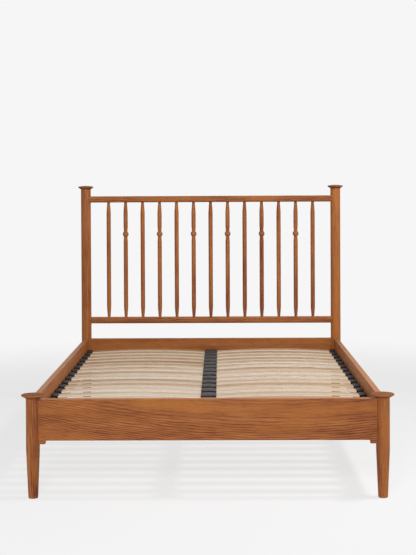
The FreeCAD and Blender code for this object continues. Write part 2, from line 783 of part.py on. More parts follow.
def side_holders(name, side):
    """The row of single holders along one side rail."""
    body = new_body(f"side_slat_holders_{name}")
    wall = f"{side} * {INNER_HALF_WIDTH}"
    mouth = f"{side} * {SIDE_MOUTH}"
    low, high = (wall, mouth) if side < 0 else (mouth, wall)
    holder_block(body, low, high)
    holder_socket(body, mouth, side)
    holder_peg(body, f"{side} * {LEDGER_MIDDLE}")
    repeat_row(body)


def centre_holders():
    """The row of double holders along the centre rail."""
    body = new_body("centre_slat_holders")
    holder_block(body, f"-{CENTRE_MOUTH}", CENTRE_MOUTH)
    for side in (-1, 1):
        holder_socket(body, f"{side} * {CENTRE_MOUTH}", -side)
    holder_peg(body, "0")
    repeat_row(body)


def row_of_peg_holes(body, across):
    """A row of holes in the top of a rail, one for each holder's peg."""
    sketch = new_sketch(body, "XY_Plane", LEDGER_TOP)
    circle(sketch, across, f"-{ROW_SPREAD}", "size.peg_diameter + 2 * size.bore_gap")
    bored = pocket(body, sketch, "size.peg_length + size.bore_gap")
    repeat(body, [bored], "Y_Axis", SLAT_ROWS, ROW_PITCH)


def ledger(name, side):
    """The strip of wood that carries the holders along one side rail."""
    body = new_body(f"ledger_{name}")
    sketch = new_sketch(body, "XZ_Plane")
    wall = f"{side} * {INNER_HALF_WIDTH}"
    face = f"{side} * ({INNER_HALF_WIDTH} - size.ledger_width)"
    low, high = (wall, face) if side < 0 else (face, wall)
    box_outline(sketch, low, high, f"{LEDGER_TOP} - size.ledger_height", LEDGER_TOP)
    pad(body, sketch, f"2 * ({HALF_LENGTH} - {POST_RADIUS} - size.ledger_end_gap)",
        middle=True)
    hole = new_sketch(body, "YZ_Plane", face)
    circle(hole, f"-{LEDGER_SCREW_SPREAD}", LEDGER_SCREW_HEIGHT,
           "size.screw_diameter + 2 * size.bore_gap")
    bored = pocket(body, hole, "size.ledger_width", reverse=side > 0)
    repeat(body, [bored], "Y_Axis", LEDGER_SCREWS, LEDGER_SCREW_PITCH)
    row_of_peg_holes(body, f"{side} * {LEDGER_MIDDLE}")
    place(body, "0", MIDDLE_Y)


for number in range(1, SLAT_ROWS + 1):
    slat_row(number)
for name, side in SIDES:
    side_holders(name, side)
    ledger(name, side)
centre_holders()


# ---------------------------------------------------------------- centre rail and its leg

LEG_TOP = CENTRE_RAIL_BOTTOM
BOLT_DEPTH = "(size.hanger_bolt_length / 2 + size.bore_gap)"
STEM_TOP = ("(size.leveller_pad_height + size.leveller_collar_height"
            " + size.leveller_stem_length)")


def centre_rail():
    """The beam down the middle of the bed, with peg holes above and the leg's bolt
    hole below."""
    body = new_body("centre_rail")
    sketch = new_sketch(body, "XZ_Plane")
    half = "size.centre_rail_width / 2"
    box_outline(sketch, f"-{half}", half, CENTRE_RAIL_BOTTOM, LEDGER_TOP)
    pad(body, sketch, f"2 * ({INNER_HALF_LENGTH} - size.hanger_sheet - size.hanger_gap)",
        middle=True)
    dress_edges(body, "Fillet", lambda edge: along(edge, "y"),
                Radius="size.centre_rail_round")
    bolt = new_sketch(body, "XY_Plane", CENTRE_RAIL_BOTTOM)
    circle(bolt, "0", "size.leg_place", "size.stud_diameter + 2 * size.bore_gap")
    pocket(body, bolt, BOLT_DEPTH, reverse=True)
    row_of_peg_holes(body, "0")
    place(body, "0", MIDDLE_Y)


def centre_rail_hangers():
    """A folded steel shoe at each end of the centre rail, screwed on by its two ears."""
    body = new_body("centre_rail_hangers")
    wall = f"-({INNER_HALF_LENGTH})"
    outer, sheet_metal = HANGER_HALF_WIDTH, "size.hanger_sheet"
    inner = f"({outer} - {sheet_metal})"
    floor = CENTRE_RAIL_BOTTOM
    top = f"({floor} + size.hanger_height)"
    shoe = new_sketch(body, "XZ_Plane", wall)
    outline(shoe, [
        (f"-{outer}", f"{floor} - {sheet_metal}"),
        (outer, f"{floor} - {sheet_metal}"),
        (outer, top),
        (inner, top),
        (inner, floor),
        (f"-{inner}", floor),
        (f"-{inner}", top),
        (f"-{outer}", top),
    ])
    folded = pad(body, shoe, "size.hanger_reach")
    plate = new_sketch(body, "XZ_Plane", wall)
    edge = f"({outer} + size.hanger_ear)"
    box_outline(plate, f"-{edge}", edge, f"{floor} - {sheet_metal}", top)
    backed = pad(body, plate, sheet_metal)
    holes = new_sketch(body, "XZ_Plane", wall)
    for side in (-1, 1):
        circle(holes, f"{side} * {HANGER_SCREW_X}", HANGER_SCREW_HEIGHT,
               "size.screw_diameter + 2 * size.bore_gap")
    bored = pocket(body, holes, sheet_metal, reverse=True)
    mirror(body, [folded, backed, bored], "XZ_Plane")
    place(body, "0", MIDDLE_Y)


def centre_leg():
    """A turned leg under the centre rail, bored above for its bolt and below for the
    threaded insert and the stem of the levelling foot."""
    body = new_body("centre_leg")
    bottom, edge = "size.leg_bottom_height", "size.leg_edge_round"
    toe, full = "size.leg_toe_diameter / 2", "size.leg_diameter / 2"
    sleeve = "(size.insert_diameter / 2 + size.bore_gap)"
    sleeve_top = f"{bottom} + size.insert_length + size.bore_gap"
    stem = "size.leveller_bore_diameter / 2"
    stem_top = f"{STEM_TOP} + size.leveller_travel + size.bore_gap"
    bolt = "(size.stud_diameter / 2 + size.bore_gap)"
    revolve(body, [
        (sleeve, bottom),
        (f"{toe} - {edge}", bottom),
        (toe, f"{bottom} + {edge}", edge),
        (full, LEG_TOP),
        (bolt, LEG_TOP),
        (bolt, f"{LEG_TOP} - {BOLT_DEPTH}"),
        ("0", f"{LEG_TOP} - {BOLT_DEPTH}"),
        ("0", stem_top),
        (stem, stem_top),
        (stem, sleeve_top),
        (sleeve, sleeve_top),
    ])
    place(body, "0", f"{MIDDLE_Y} + size.leg_place")


def leg_bolt():
    """The threaded bolt that holds the leg to the centre rail."""
    body = new_body("leg_bolt")
    half, radius = "size.hanger_bolt_length / 2", "size.stud_diameter / 2"
    revolve(body, [
        ("0", f"{LEG_TOP} - {half}"),
        (radius, f"{LEG_TOP} - {half}"),
        (radius, f"{LEG_TOP} + {half}"),
        ("0", f"{LEG_TOP} + {half}"),
    ])
    place(body, "0", f"{MIDDLE_Y} + size.leg_place")


def levelling_foot():
    """A pad, a collar to grip and a threaded stem, which screw up and down together."""
    body = new_body("levelling_foot")
    pad_radius, edge = "size.leveller_pad_diameter / 2", "size.leveller_pad_round"
    pad_top = "size.leveller_pad_height"
    collar, collar_top = "size.leveller_collar_width / 2", (
        "(size.leveller_pad_height + size.leveller_collar_height)")
    stem = "size.stud_diameter / 2"
    revolve(body, [
        ("0", "0"),
        (pad_radius, "0"),
        (pad_radius, f"{pad_top} - {edge}"),
        (f"{pad_radius} - {edge}", pad_top, edge),
        (collar, pad_top),
        (collar, collar_top),
        (stem, collar_top),
        (stem, STEM_TOP),
        ("0", STEM_TOP),
    ])
    place(body, "0", f"{MIDDLE_Y} + size.leg_place")


centre_rail()
centre_rail_hangers()
centre_leg()
leg_bolt()
levelling_foot()


# ---------------------------------------------------------------- fasteners

def at_each_corner(label, start, outlines, length):
    """Like pieces at the four ends of the side rails, drawn at the head's right corner
    from a start measured from the post's axis, and copied to the other three."""
    body = new_body(label)
    sketch = new_sketch(body, "XZ_Plane", f"-({HALF_LENGTH} - ({start}))")
    outlines(sketch)
    piece = pad(body, sketch, length)
    copy_about(body, [piece], "YZ_Plane", "XZ_Plane")
    place(body, "0", MIDDLE_Y)
    return body


def insert_outline(sketch):
    """A threaded sleeve."""
    circle(sketch, POST_X, STUD_HEIGHT, "size.insert_diameter")
    circle(sketch, POST_X, STUD_HEIGHT, "size.stud_diameter + 2 * size.thread_gap")


def stud_outline(sketch):
    """A threaded rod."""
    circle(sketch, POST_X, STUD_HEIGHT, "size.stud_diameter")


def washer_outline(sketch):
    """A half-moon washer, its flat edge towards the floor of the pocket."""
    flat = f"({INNER_HALF_WIDTH} + {POCKET_DEPTH} - size.washer_gap)"
    centre, radius = STUD_HEIGHT, "size.washer_radius"
    outline(sketch, [
        (flat, f"{centre} - {radius}", radius),
        (flat, f"{centre} + {radius}"),
        (f"{flat} - {radius}", centre, radius),
    ])
    circle(sketch, POST_X, centre, "size.stud_bore_diameter")


def nut_outline(sketch):
    """A hexagonal nut."""
    corners = [f"size.nut_width / sqrt(3) * {{}}({60 * step + 30} deg)" for step in range(6)]
    outline(sketch, [(f"{POST_X} + {corner.format('cos')}",
                      f"{STUD_HEIGHT} + {corner.format('sin')}") for corner in corners])
    circle(sketch, POST_X, STUD_HEIGHT, "size.stud_diameter + 2 * size.thread_gap")


def dowel_outline(sketch):
    """Two wooden dowels, one above the other."""
    for height in DOWEL_HEIGHTS:
        circle(sketch, POST_X, height, "size.dowel_diameter")


def leg_insert(body):
    """One more threaded sleeve, upright in the toe of the centre leg."""
    sketch = new_sketch(body, "XY_Plane", "size.leg_bottom_height")
    for diameter in ("size.insert_diameter", "size.stud_diameter + 2 * size.thread_gap"):
        circle(sketch, "0", "size.leg_place", diameter)
    pad(body, sketch, "size.insert_length")


def screws(label, role, face, spots, length, copies):
    """Round-headed wood screws. They point along the plane's normal from a face."""
    body = new_body(label)
    features = []
    for diameter, reach, back in (("size.screw_diameter", length, False),
                                  ("size.screw_head_diameter", "size.screw_head_height",
                                   True)):
        sketch = new_sketch(body, role, face)
        for across, up in spots:
            circle(sketch, across, up, diameter)
        features.append(pad(body, sketch, reach, reverse=back))
    copy_about(body, features, *copies)
    place(body, "0", MIDDLE_Y)


inserts = at_each_corner("threaded_inserts", INSERT_START, insert_outline,
                         "size.insert_length")
leg_insert(inserts)
at_each_corner("rail_studs", STUD_START, stud_outline, f"{STUD_END} - {STUD_START}")
at_each_corner("half_moon_washers", POCKET_START, washer_outline, "size.washer_thickness")
at_each_corner("rail_nuts", NUT_START, nut_outline, "size.nut_thickness")
at_each_corner("rail_dowels", DOWEL_START, dowel_outline, "size.dowel_length")
screws("ledger_screws", "YZ_Plane", f"{INNER_HALF_WIDTH} - size.ledger_width",
       [(f"-{LEDGER_SCREW_SPREAD}", LEDGER_SCREW_HEIGHT)], "size.ledger_screw_length",
       [("Y_Axis", LEDGER_SCREWS, LEDGER_SCREW_PITCH), "YZ_Plane"])
screws("hanger_screws", "XZ_Plane", f"{INNER_HALF_LENGTH} - size.hanger_sheet",
       [(HANGER_SCREW_X, HANGER_SCREW_HEIGHT)], "size.hanger_screw_length",
       ["YZ_Plane", "XZ_Plane"])

# ---------------------------------------------------------------- checks and export

doc.recompute()
for thing in doc.Objects:
    if "Invalid" in thing.State or "Error" in thing.State:
        raise RuntimeError(f"{thing.Name} failed: {thing.State}")
os.makedirs("parts", exist_ok=True)
for body in parts:
    if body.Shape.isNull() or not body.Shape.isValid():
        raise RuntimeError(f"{body.Label} has no valid shape")
for body in parts:
    body.Shape.exportStep(f"parts/{body.Label}.step")
    print(body.Label, len(body.Shape.Solids), round(body.Shape.Volume / 1e3, 1), "cm3")
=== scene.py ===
import math

import bpy
import numpy as np
from mathutils import Matrix, Vector


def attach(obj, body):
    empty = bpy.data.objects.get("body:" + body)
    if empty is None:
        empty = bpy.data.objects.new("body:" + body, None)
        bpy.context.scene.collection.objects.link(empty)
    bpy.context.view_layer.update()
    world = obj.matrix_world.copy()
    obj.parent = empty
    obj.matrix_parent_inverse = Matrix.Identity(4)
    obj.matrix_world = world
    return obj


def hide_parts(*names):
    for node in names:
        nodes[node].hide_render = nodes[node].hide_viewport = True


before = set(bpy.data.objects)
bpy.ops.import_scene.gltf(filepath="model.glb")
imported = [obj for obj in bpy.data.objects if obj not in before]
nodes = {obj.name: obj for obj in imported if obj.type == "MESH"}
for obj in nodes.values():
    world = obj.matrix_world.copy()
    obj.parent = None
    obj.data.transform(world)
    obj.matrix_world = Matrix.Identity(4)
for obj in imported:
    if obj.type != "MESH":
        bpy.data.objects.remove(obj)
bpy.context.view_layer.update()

# ---------------------------------------------------------------- posts and button caps
# Four round posts, turned from solid hardwood and tapered below the bed rails, each with
# a turned button cap glued on. The wood is open-grained, stained a warm chestnut and
# finished with a thin satin lacquer that leaves the grain to be felt.

UPRIGHT = (0, math.pi / 2, 0)     # turns a pattern that runs along X so that it runs up
MIDDLE_Y = 0.0015                 # the middle of the bed's length
POST_X, POST_Y = 0.700, 0.970     # post axes, from the middle
CAP_RIM_MM = {"head": 43, "foot": 46}
TOE_RUB, EDGE_RUB = 0.014, 0.0025     # reach of wear up a post's toe, and in from an edge
# Where the painted shade on a foot post's inner side starts and where it is full
PAINTED_SHADE_STARTS, PAINTED_SHADE_FULL = 0.014, -0.027      # outward from a foot post's axis


def linear(hex_colour):
    """An sRGB hex colour as linear RGBA. A channel c becomes c / 12.92 up to 0.04045,
    and ((c + 0.055) / 1.055) to the power 2.4 above."""
    c = np.array([int(hex_colour[at:at + 2], 16) for at in (1, 3, 5)]) / 255
    return (*np.where(c <= 0.04045, c / 12.92, ((c + 0.055) / 1.055) ** 2.4), 1)


def add(tree, kind, inputs=(), out=0, stops=(), **settings):
    """Add a node with its settings, feed its inputs from values or other sockets, and
    give the socket it ends in. Stops are the places and hex colours of a ramp."""
    made = tree.nodes.new("ShaderNode" + kind)
    for name, value in settings.items():
        setattr(made, name, value)
    for name, value in dict(inputs).items():
        if isinstance(value, bpy.types.NodeSocket):
            tree.links.new(value, made.inputs[name])
        else:
            made.inputs[name].default_value = value
    for index, (place, colour) in enumerate(stops):
        ramp = made.color_ramp.elements
        stop = ramp[index] if index < len(ramp) else ramp.new(place)
        stop.position, stop.color = place, linear(colour)
    return made.outputs[out] if len(made.outputs) else None


def new_material(name):
    """An empty node material, and the tree that fills it."""
    material = bpy.data.materials.new(name)
    material.use_nodes = True
    material.node_tree.nodes.clear()
    return material, material.node_tree


GRAIN_MARKS = (                   # name, length and width in mm, detail
    ("drift", 900, 330, 2.0), ("quiver", 130, 32, 2.0), ("fibre", 95, 4.5, 4.0),
    ("streak", 420, 36, 3.0), ("patch", 260, 62, 2.0), ("pore", 42, 1.4, 1.0))
RING_DRIFT, RING_QUIVER = 0.050, 0.016                # how far a ring wavers, in metres


def long_marks(tree, along, kinds):
    """Noise stretched along X, one socket for each kind of mark: a kind has a name, a
    length and a width in mm, and the noise's detail."""
    marks = {}
    for kind, length_mm, width_mm, detail in kinds:
        stretched = add(tree, "Mapping", {"Vector": along, "Scale": (
            1000 / length_mm, 1000 / width_mm, 1000 / width_mm)})
        marks[kind] = add(tree, "TexNoise", {"Vector": stretched, "Scale": 1.0,
                                             "Detail": detail}, out="Fac")
    return marks


def timber_figure(tree, turn, heart, tilt, bow, shift, ring_mm):
    """The marks of sawn timber, as sockets. A growth ring is one step of distance from a
    heart line, which lies off the piece, is tilted to it, bows as the square of the
    distance along it and wavers with slow noise. Across is the share of that distance
    that runs along the face: near 0 the face lies along the ring. The other marks are
    noise stretched along the grain, each by its own length and width."""
    place = add(tree, "TexCoord", out="Object")
    along = add(tree, "Mapping", {"Vector": place, "Rotation": turn,
                                  "Location": (shift, 0, 0)})
    marks = {"place": place, **long_marks(tree, along, GRAIN_MARKS)}
    drift = add(tree, "Math", {0: marks["drift"], 1: RING_DRIFT, 2: -RING_DRIFT / 2},
                operation="MULTIPLY_ADD")
    quiver = add(tree, "Math", {0: marks["quiver"], 1: RING_QUIVER, 2: -RING_QUIVER / 2},
                 operation="MULTIPLY_ADD")
    drift = add(tree, "Math", {0: drift, 1: quiver}, operation="ADD")
    run = add(tree, "SeparateXYZ", {"Vector": along}, out="X")
    reach = add(tree, "Math", {0: run, 1: bow[1]}, operation="SUBTRACT")
    curve = add(tree, "Math", {0: reach, 1: reach}, operation="MULTIPLY")
    lift = add(tree, "Math", {0: curve, 1: -bow[0], 2: drift}, operation="MULTIPLY_ADD")
    bent = add(tree, "CombineXYZ", {"X": 0.0, "Y": 0.0, "Z": lift})
    wavering = add(tree, "VectorMath", {0: along, 1: bent}, operation="ADD")
    axis = add(tree, "Mapping", {"Vector": wavering, "Location": (0, *heart),
                                 "Rotation": (0, *tilt)})
    section = add(tree, "VectorMath", {0: axis, 1: (0, 1, 1)}, operation="MULTIPLY")
    radius = add(tree, "VectorMath", {0: section}, operation="LENGTH", out="Value")
    sideways = add(tree, "Math", {0: add(tree, "SeparateXYZ", {"Vector": section},
                                         out="Z")}, operation="ABSOLUTE")
    marks["across"] = add(tree, "Math", {0: sideways, 1: radius}, operation="DIVIDE")
    steps = add(tree, "Math", {0: radius, 1: 1000 / ring_mm}, operation="MULTIPLY")
    marks["ring"] = add(tree, "Math", {0: steps}, operation="FRACT")
    return marks


# How far each mark deepens the tone, painted shade among them, and the depth that they
# start from
STREAK_DEPTH, FIBRE_DEPTH, TONE_AND_SHADE_DEPTH, LEAST_DEPTH = 0.55, 0.75, 0.3, -0.18
PORE_SHARE = 0.45                 # how far a pore hides the tone round it


def stained_hardwood(name, turn=(0, 0, 0), *, heart, tilt=(0, 0), bow=(0, 0), shift=0.0,
                     lines=1.0, soak=0.0, tone_and_painted_shade=None, wear):
    """Stained open-grained hardwood. Late wood, the dark end of each ring, drinks more of
    the stain than early wood, and pores are darkest. Where the face lies along the rings
    their lines widen into golden flames. Lines is the strength of the ring lines and soak
    the share of extra stain that end grain takes. Two makers of sockets may be given: one
    gives 1 where the wood is deeper in tone, by its own colour on some pieces and by
    painted shade on others, and wear gives 1 on rubbed edges."""
    material, tree = new_material(name)
    # Rings 8 mm apart and pores 1.4 mm wide: real ones, 3 and 0.2 mm, are too fine to show
    marks = timber_figure(tree, turn, heart, tilt, bow, shift, ring_mm=8)
    late = add(tree, "ValToRGB", {"Fac": marks["ring"]},
               stops=((0, "#404040"), (0.12, "#0c0c0c"), (0.62, "#2a2a2a"),
                      (0.93, "#c8c8c8"), (1, "#8c8c8c")))
    crossed = add(tree, "MapRange", {"Value": marks["across"], "From Min": 0.25,
                                     "From Max": 0.85, "To Min": 0.12 * lines,
                                     "To Max": 0.78 * lines})
    fibre = marks["fibre"]
    pore = add(tree, "MapRange", {"Value": marks["pore"], "From Min": 0.60,
                                  "From Max": 0.70})
    pores = add(tree, "Math", {0: pore, 1: PORE_SHARE}, operation="MULTIPLY")
    depth = add(tree, "Math", {0: late, 1: crossed, 2: LEAST_DEPTH},
                operation="MULTIPLY_ADD")
    depth = add(tree, "Math", {0: marks["streak"], 1: STREAK_DEPTH, 2: depth},
                operation="MULTIPLY_ADD")
    depth = add(tree, "Math", {0: fibre, 1: FIBRE_DEPTH, 2: depth},
                operation="MULTIPLY_ADD")
    # The last socket adds the wood's own deeper tone on the spindles, and painted shade on
    # the foot posts and headboard rails
    if tone_and_painted_shade:
        share = tone_and_painted_shade(tree, marks["place"])
        depth = add(tree, "Math", {0: share, 1: TONE_AND_SHADE_DEPTH, 2: depth},
                    operation="MULTIPLY_ADD")
    tone = add(tree, "ValToRGB", {"Fac": depth},
               stops=((0.34, "#ba7745"), (0.50, "#a76639"), (0.70, "#8a4c30"),
                      (1, "#5c2e1c")))
    golden = add(tree, "MapRange", {"Value": marks["patch"], "From Min": 0.46,
                                    "From Max": 0.64, "To Min": 0.0, "To Max": 0.5})
    flame = add(tree, "MapRange", {"Value": marks["across"], "From Min": 0.55,
                                   "From Max": 0.15, "To Min": 0.0, "To Max": 0.35})
    golden = add(tree, "Math", {0: golden, 1: flame}, operation="ADD")
    warmed = add(tree, "Mix", {0: golden, 6: tone, 7: linear("#b87239")},
                 data_type="RGBA", out=2)
    soaked = add(tree, "Mix", {0: soak, 6: warmed, 7: linear("#4c2714")},
                 data_type="RGBA", out=2)
    pored = add(tree, "Mix", {0: pores, 6: soaked, 7: linear("#4a2410")},
                data_type="RGBA", out=2)
    rubbed = wear(tree, marks["place"])
    broken = add(tree, "Math", {0: rubbed, 1: fibre}, operation="MULTIPLY")
    colour = add(tree, "Mix", {0: broken, 6: pored, 7: linear("#b57c4c")},
                 data_type="RGBA", out=2)
    sheen = add(tree, "MapRange", {"Value": fibre, "From Min": 0.3, "From Max": 0.7,
                                   "To Min": 0.38 + soak / 3, "To Max": 0.54 + soak / 3})
    grain = add(tree, "Math", {0: pore, 1: -0.7, 2: fibre}, operation="MULTIPLY_ADD")
    relief = add(tree, "Bump", {"Height": grain, "Strength": 0.25, "Distance": 0.0006})
    surface = add(tree, "BsdfPrincipled", {
        "Base Color": colour, "Roughness": sheen, "Normal": relief, "IOR": 1.45,
        "Specular IOR Level": 0.15})
    add(tree, "OutputMaterial", {"Surface": surface})
    return material


def rubbed_toe_and_rim(end):
    """Wear on a post's toe, lowest 14 mm, and on its cap's rim, outermost 2.5 mm. Both are
    found from the distance to the nearest post's axis, by folding the bed on itself."""
    def wear(tree, place):
        folded = add(tree, "VectorMath", {0: place, 1: (0, MIDDLE_Y, 0)},
                     operation="SUBTRACT")
        folded = add(tree, "VectorMath", {0: folded}, operation="ABSOLUTE")
        local = add(tree, "VectorMath", {0: folded, 1: (POST_X, POST_Y, 0)},
                    operation="SUBTRACT")
        flat = add(tree, "VectorMath", {0: local, 1: (1, 1, 0)}, operation="MULTIPLY")
        far = add(tree, "VectorMath", {0: flat}, operation="LENGTH", out="Value")
        rim = CAP_RIM_MM[end] / 1000
        edge = add(tree, "MapRange", {"Value": far, "From Min": rim - EDGE_RUB,
                                      "From Max": rim})
        height = add(tree, "SeparateXYZ", {"Vector": place}, out="Z")
        toe = add(tree, "MapRange", {"Value": height, "From Min": TOE_RUB,
                                     "From Max": 0.0})
        return add(tree, "Math", {0: edge, 1: toe}, operation="MAXIMUM")
    return wear


def painted_shade_inner_sides(tree, place):
    """Painted shade on the foot posts: the side of each post that faces the middle of the
    bed is darkened, as if light fell only from the outer sides: 0 on the outer side of each
    post and 1 on its inner side."""
    across = add(tree, "SeparateXYZ", {"Vector": place}, out="X")
    out = add(tree, "Math", {0: across}, operation="ABSOLUTE")
    return add(tree, "MapRange", {"Value": out, "From Min": POST_X + PAINTED_SHADE_STARTS,
                                  "From Max": POST_X + PAINTED_SHADE_FULL})


for end in ("head", "foot"):
    wear = rubbed_toe_and_rim(end)
    # The foot posts carry painted shade on their inner sides
    post_wood = stained_hardwood(f"stained_hardwood_{end}_posts", UPRIGHT,
                                 heart=(0.31, 0.45), tilt=(0.02, 0.03), lines=0.55,
                                 tone_and_painted_shade=painted_shade_inner_sides if end == "foot" else None,
                                 wear=wear)
    cap_wood = stained_hardwood(f"stained_hardwood_{end}_caps", UPRIGHT,
                                heart=(0.31, 0.45), shift=1.1, lines=0.4, soak=0.5,
                                wear=wear)
    for side in ("left", "right"):
        nodes[f"{end}_post_{side}"].material_slots[0].material = post_wood
        nodes[f"{end}_cap_{side}"].material_slots[0].material = cap_wood

# ---------------------------------------------------------------- bed rails
# Foot board, head board and two side rails, planed from wide boards of the same wood. The
# foot board is flat-sawn, so that its rings draw long bowed arches.

RAIL_TOP = 0.398                      # height of the rails' top edges
LENGTHWISE = (0, 0, -math.pi / 2)     # turns a pattern that runs along X to run along Y


def rubbed_top_edge(tree, place):
    """Wear on the top 2.5 mm of a rail."""
    height = add(tree, "SeparateXYZ", {"Vector": place}, out="Z")
    return add(tree, "MapRange", {"Value": height, "From Min": RAIL_TOP - EDGE_RUB,
                                  "From Max": RAIL_TOP})


foot_board = stained_hardwood("stained_hardwood_foot_board", heart=(1.03, -0.352),
                              bow=(0.12, 0.25), wear=rubbed_top_edge)
head_board = stained_hardwood("stained_hardwood_head_board", heart=(-0.91, -0.300),
                              tilt=(0.03, 0), shift=2.4, soak=0.14,
                              wear=rubbed_top_edge)
side_board = stained_hardwood("stained_hardwood_side_rails", LENGTHWISE,
                              heart=(0.12, -0.330), tilt=(0.01, 0), wear=rubbed_top_edge)
nodes["foot_rail"].material_slots[0].material = foot_board
nodes["head_rail"].material_slots[0].material = head_board
for side in ("left", "right"):
    nodes[f"side_rail_{side}"].material_slots[0].material = side_board

# ---------------------------------------------------------------- headboard
# Two planed rails with well-rounded edges, and thirteen turned spindles glued between
# them. Every second spindle has a bead. All are of the same stained wood.

HEADBOARD_TOPS, HEADBOARD_DEPTH = (0.519, 1.198), 0.045       # the rails' tops and depth
SPINDLE_PITCH, BEAD_RADIUS, BEAD_RUB = 1.145 / 12, 0.0165, 0.0015
SPINDLE_SPREAD = 0.35             # share of darkness of the darkest spindle
PAST_ALL = 2                      # further out than the bed reaches, so nothing is wrapped


def near_heights(tree, place, heights, reach):
    """1 at each of the heights, falling evenly to 0 at the reach above or below it."""
    height, share = add(tree, "SeparateXYZ", {"Vector": place}, out="Z"), 0.0
    for level in heights:
        off = add(tree, "Math", {0: height, 1: level}, operation="SUBTRACT")
        off = add(tree, "Math", {0: off}, operation="ABSOLUTE")
        near = add(tree, "MapRange", {"Value": off, "From Min": reach, "From Max": 0.0})
        share = add(tree, "Math", {0: near, 1: share}, operation="MAXIMUM")
    return share


def rubbed_rail_tops(tree, place):
    """Wear on the tops of both headboard rails, where hands take hold."""
    return near_heights(tree, place, HEADBOARD_TOPS, reach=0.004)


def painted_shade_under_rails(tree, place):
    """Painted shade along the lower rounding of both headboard rails, where less light
    falls.
    """
    return near_heights(tree, place, [top - HEADBOARD_DEPTH for top in HEADBOARD_TOPS],
                        reach=0.015)


def rubbed_beads(tree, place):
    """Wear on the widest 1.5 mm of the beads. The distance to the nearest spindle's axis
    comes from wrapping the width of the bed round one pitch."""
    wrapped = add(tree, "VectorMath", {
        0: place, 1: (SPINDLE_PITCH / 2, PAST_ALL, PAST_ALL),
        2: (-SPINDLE_PITCH / 2, -PAST_ALL, -PAST_ALL)}, operation="WRAP")
    local = add(tree, "VectorMath", {0: wrapped, 1: (0, MIDDLE_Y + POST_Y, 0)},
                operation="SUBTRACT")
    flat = add(tree, "VectorMath", {0: local, 1: (1, 1, 0)}, operation="MULTIPLY")
    far = add(tree, "VectorMath", {0: flat}, operation="LENGTH", out="Value")
    return add(tree, "MapRange", {"Value": far, "From Min": BEAD_RADIUS - BEAD_RUB,
                                  "From Max": BEAD_RADIUS})


def spindle_tones(tree, place):
    """Each spindle is turned from another square of wood: a share of darkness of its own,
    from its number across the bed."""
    across = add(tree, "SeparateXYZ", {"Vector": place}, out="X")
    number = add(tree, "Math", {0: across, 1: 1 / SPINDLE_PITCH, 2: 0.5},
                 operation="MULTIPLY_ADD")
    number = add(tree, "Math", {0: number}, operation="FLOOR")
    chance = add(tree, "TexWhiteNoise", {"W": number}, noise_dimensions="1D")
    return add(tree, "MapRange", {"Value": chance, "To Max": SPINDLE_SPREAD})


# The headboard rails carry painted shade along their lower rounding
headboard_wood = stained_hardwood("stained_hardwood_headboard_rails",
                                  heart=(-0.90, -0.85), shift=5.1,
                                  tone_and_painted_shade=painted_shade_under_rails, wear=rubbed_rail_tops)
spindle_wood = stained_hardwood("stained_hardwood_spindles", UPRIGHT,
                                heart=(0.4, -0.83), shift=1.7,
                                tone_and_painted_shade=spindle_tones, wear=rubbed_beads)
for name in ("headboard_top_rail", "headboard_lower_rail"):
    nodes[name].material_slots[0].material = headboard_wood
for name in sorted(nodes):
    if name.startswith("spindle_"):
        nodes[name].material_slots[0].material = spindle_wood

# ---------------------------------------------------------------- ledgers and centre rail
# Strips of planed pine, glued and screwed to the side rails to carry the slat holders, and
# a deeper pine beam down the middle of the bed. They are left without stain.


def planed_pine(name, heart, tilt, shift=0.0):
    """Planed pine. Late wood is a clear amber line on pale early wood, and a knot is a
    dark eye in the middle of a random cell, a few to each metre of wood."""
    material, tree = new_material(name)
    # Rings 9 mm apart: real ones, 3 to 6 mm, are too fine to show
    marks = timber_figure(tree, LENGTHWISE, heart, tilt, (0, 0), shift, ring_mm=9)
    tone = add(tree, "ValToRGB", {"Fac": marks["ring"]},
               stops=((0, "#d9b27a"), (0.2, "#e6c898"), (0.7, "#dcb67e"),
                      (0.92, "#b9803f"), (1, "#cf9f63")))
    streaky = add(tree, "Mix", {0: marks["fibre"], 6: tone, 7: linear("#c99c5f")},
                  data_type="RGBA", out=2)
    knots = add(tree, "Mapping", {"Vector": marks["place"], "Scale": (14, 5, 14)})
    eye = add(tree, "TexVoronoi", {"Vector": knots, "Scale": 1.0}, out="Distance")
    knot = add(tree, "MapRange", {"Value": eye, "From Min": 0.13, "From Max": 0.05})
    colour = add(tree, "Mix", {0: knot, 6: streaky, 7: linear("#7b4a26")},
                 data_type="RGBA", out=2)
    dull = add(tree, "MapRange", {"Value": marks["streak"], "To Min": 0.52, "To Max": 0.72})
    relief = add(tree, "Bump", {"Height": marks["fibre"], "Strength": 0.3,
                                "Distance": 0.0005})
    surface = add(tree, "BsdfPrincipled", {
        "Base Color": colour, "Roughness": dull, "Normal": relief})
    add(tree, "OutputMaterial", {"Surface": surface})
    return material


nodes["centre_rail"].material_slots[0].material = planed_pine(
    "planed_pine_centre_rail", heart=(0.05, -0.36), tilt=(0.02, 0))
ledger_pine = planed_pine("planed_pine_ledgers", heart=(-0.70, -0.27), tilt=(0, 0.012),
                          shift=3.3)
for side in ("left", "right"):
    nodes[f"ledger_{side}"].material_slots[0].material = ledger_pine

# ---------------------------------------------------------------- steel hangers
# A folded shoe of 2 mm zinc-plated sheet steel carries each end of the centre rail. It is
# held to the head or foot board by two round-headed screws.


SPANGLE_MM = 6                    # width of a zinc crystal


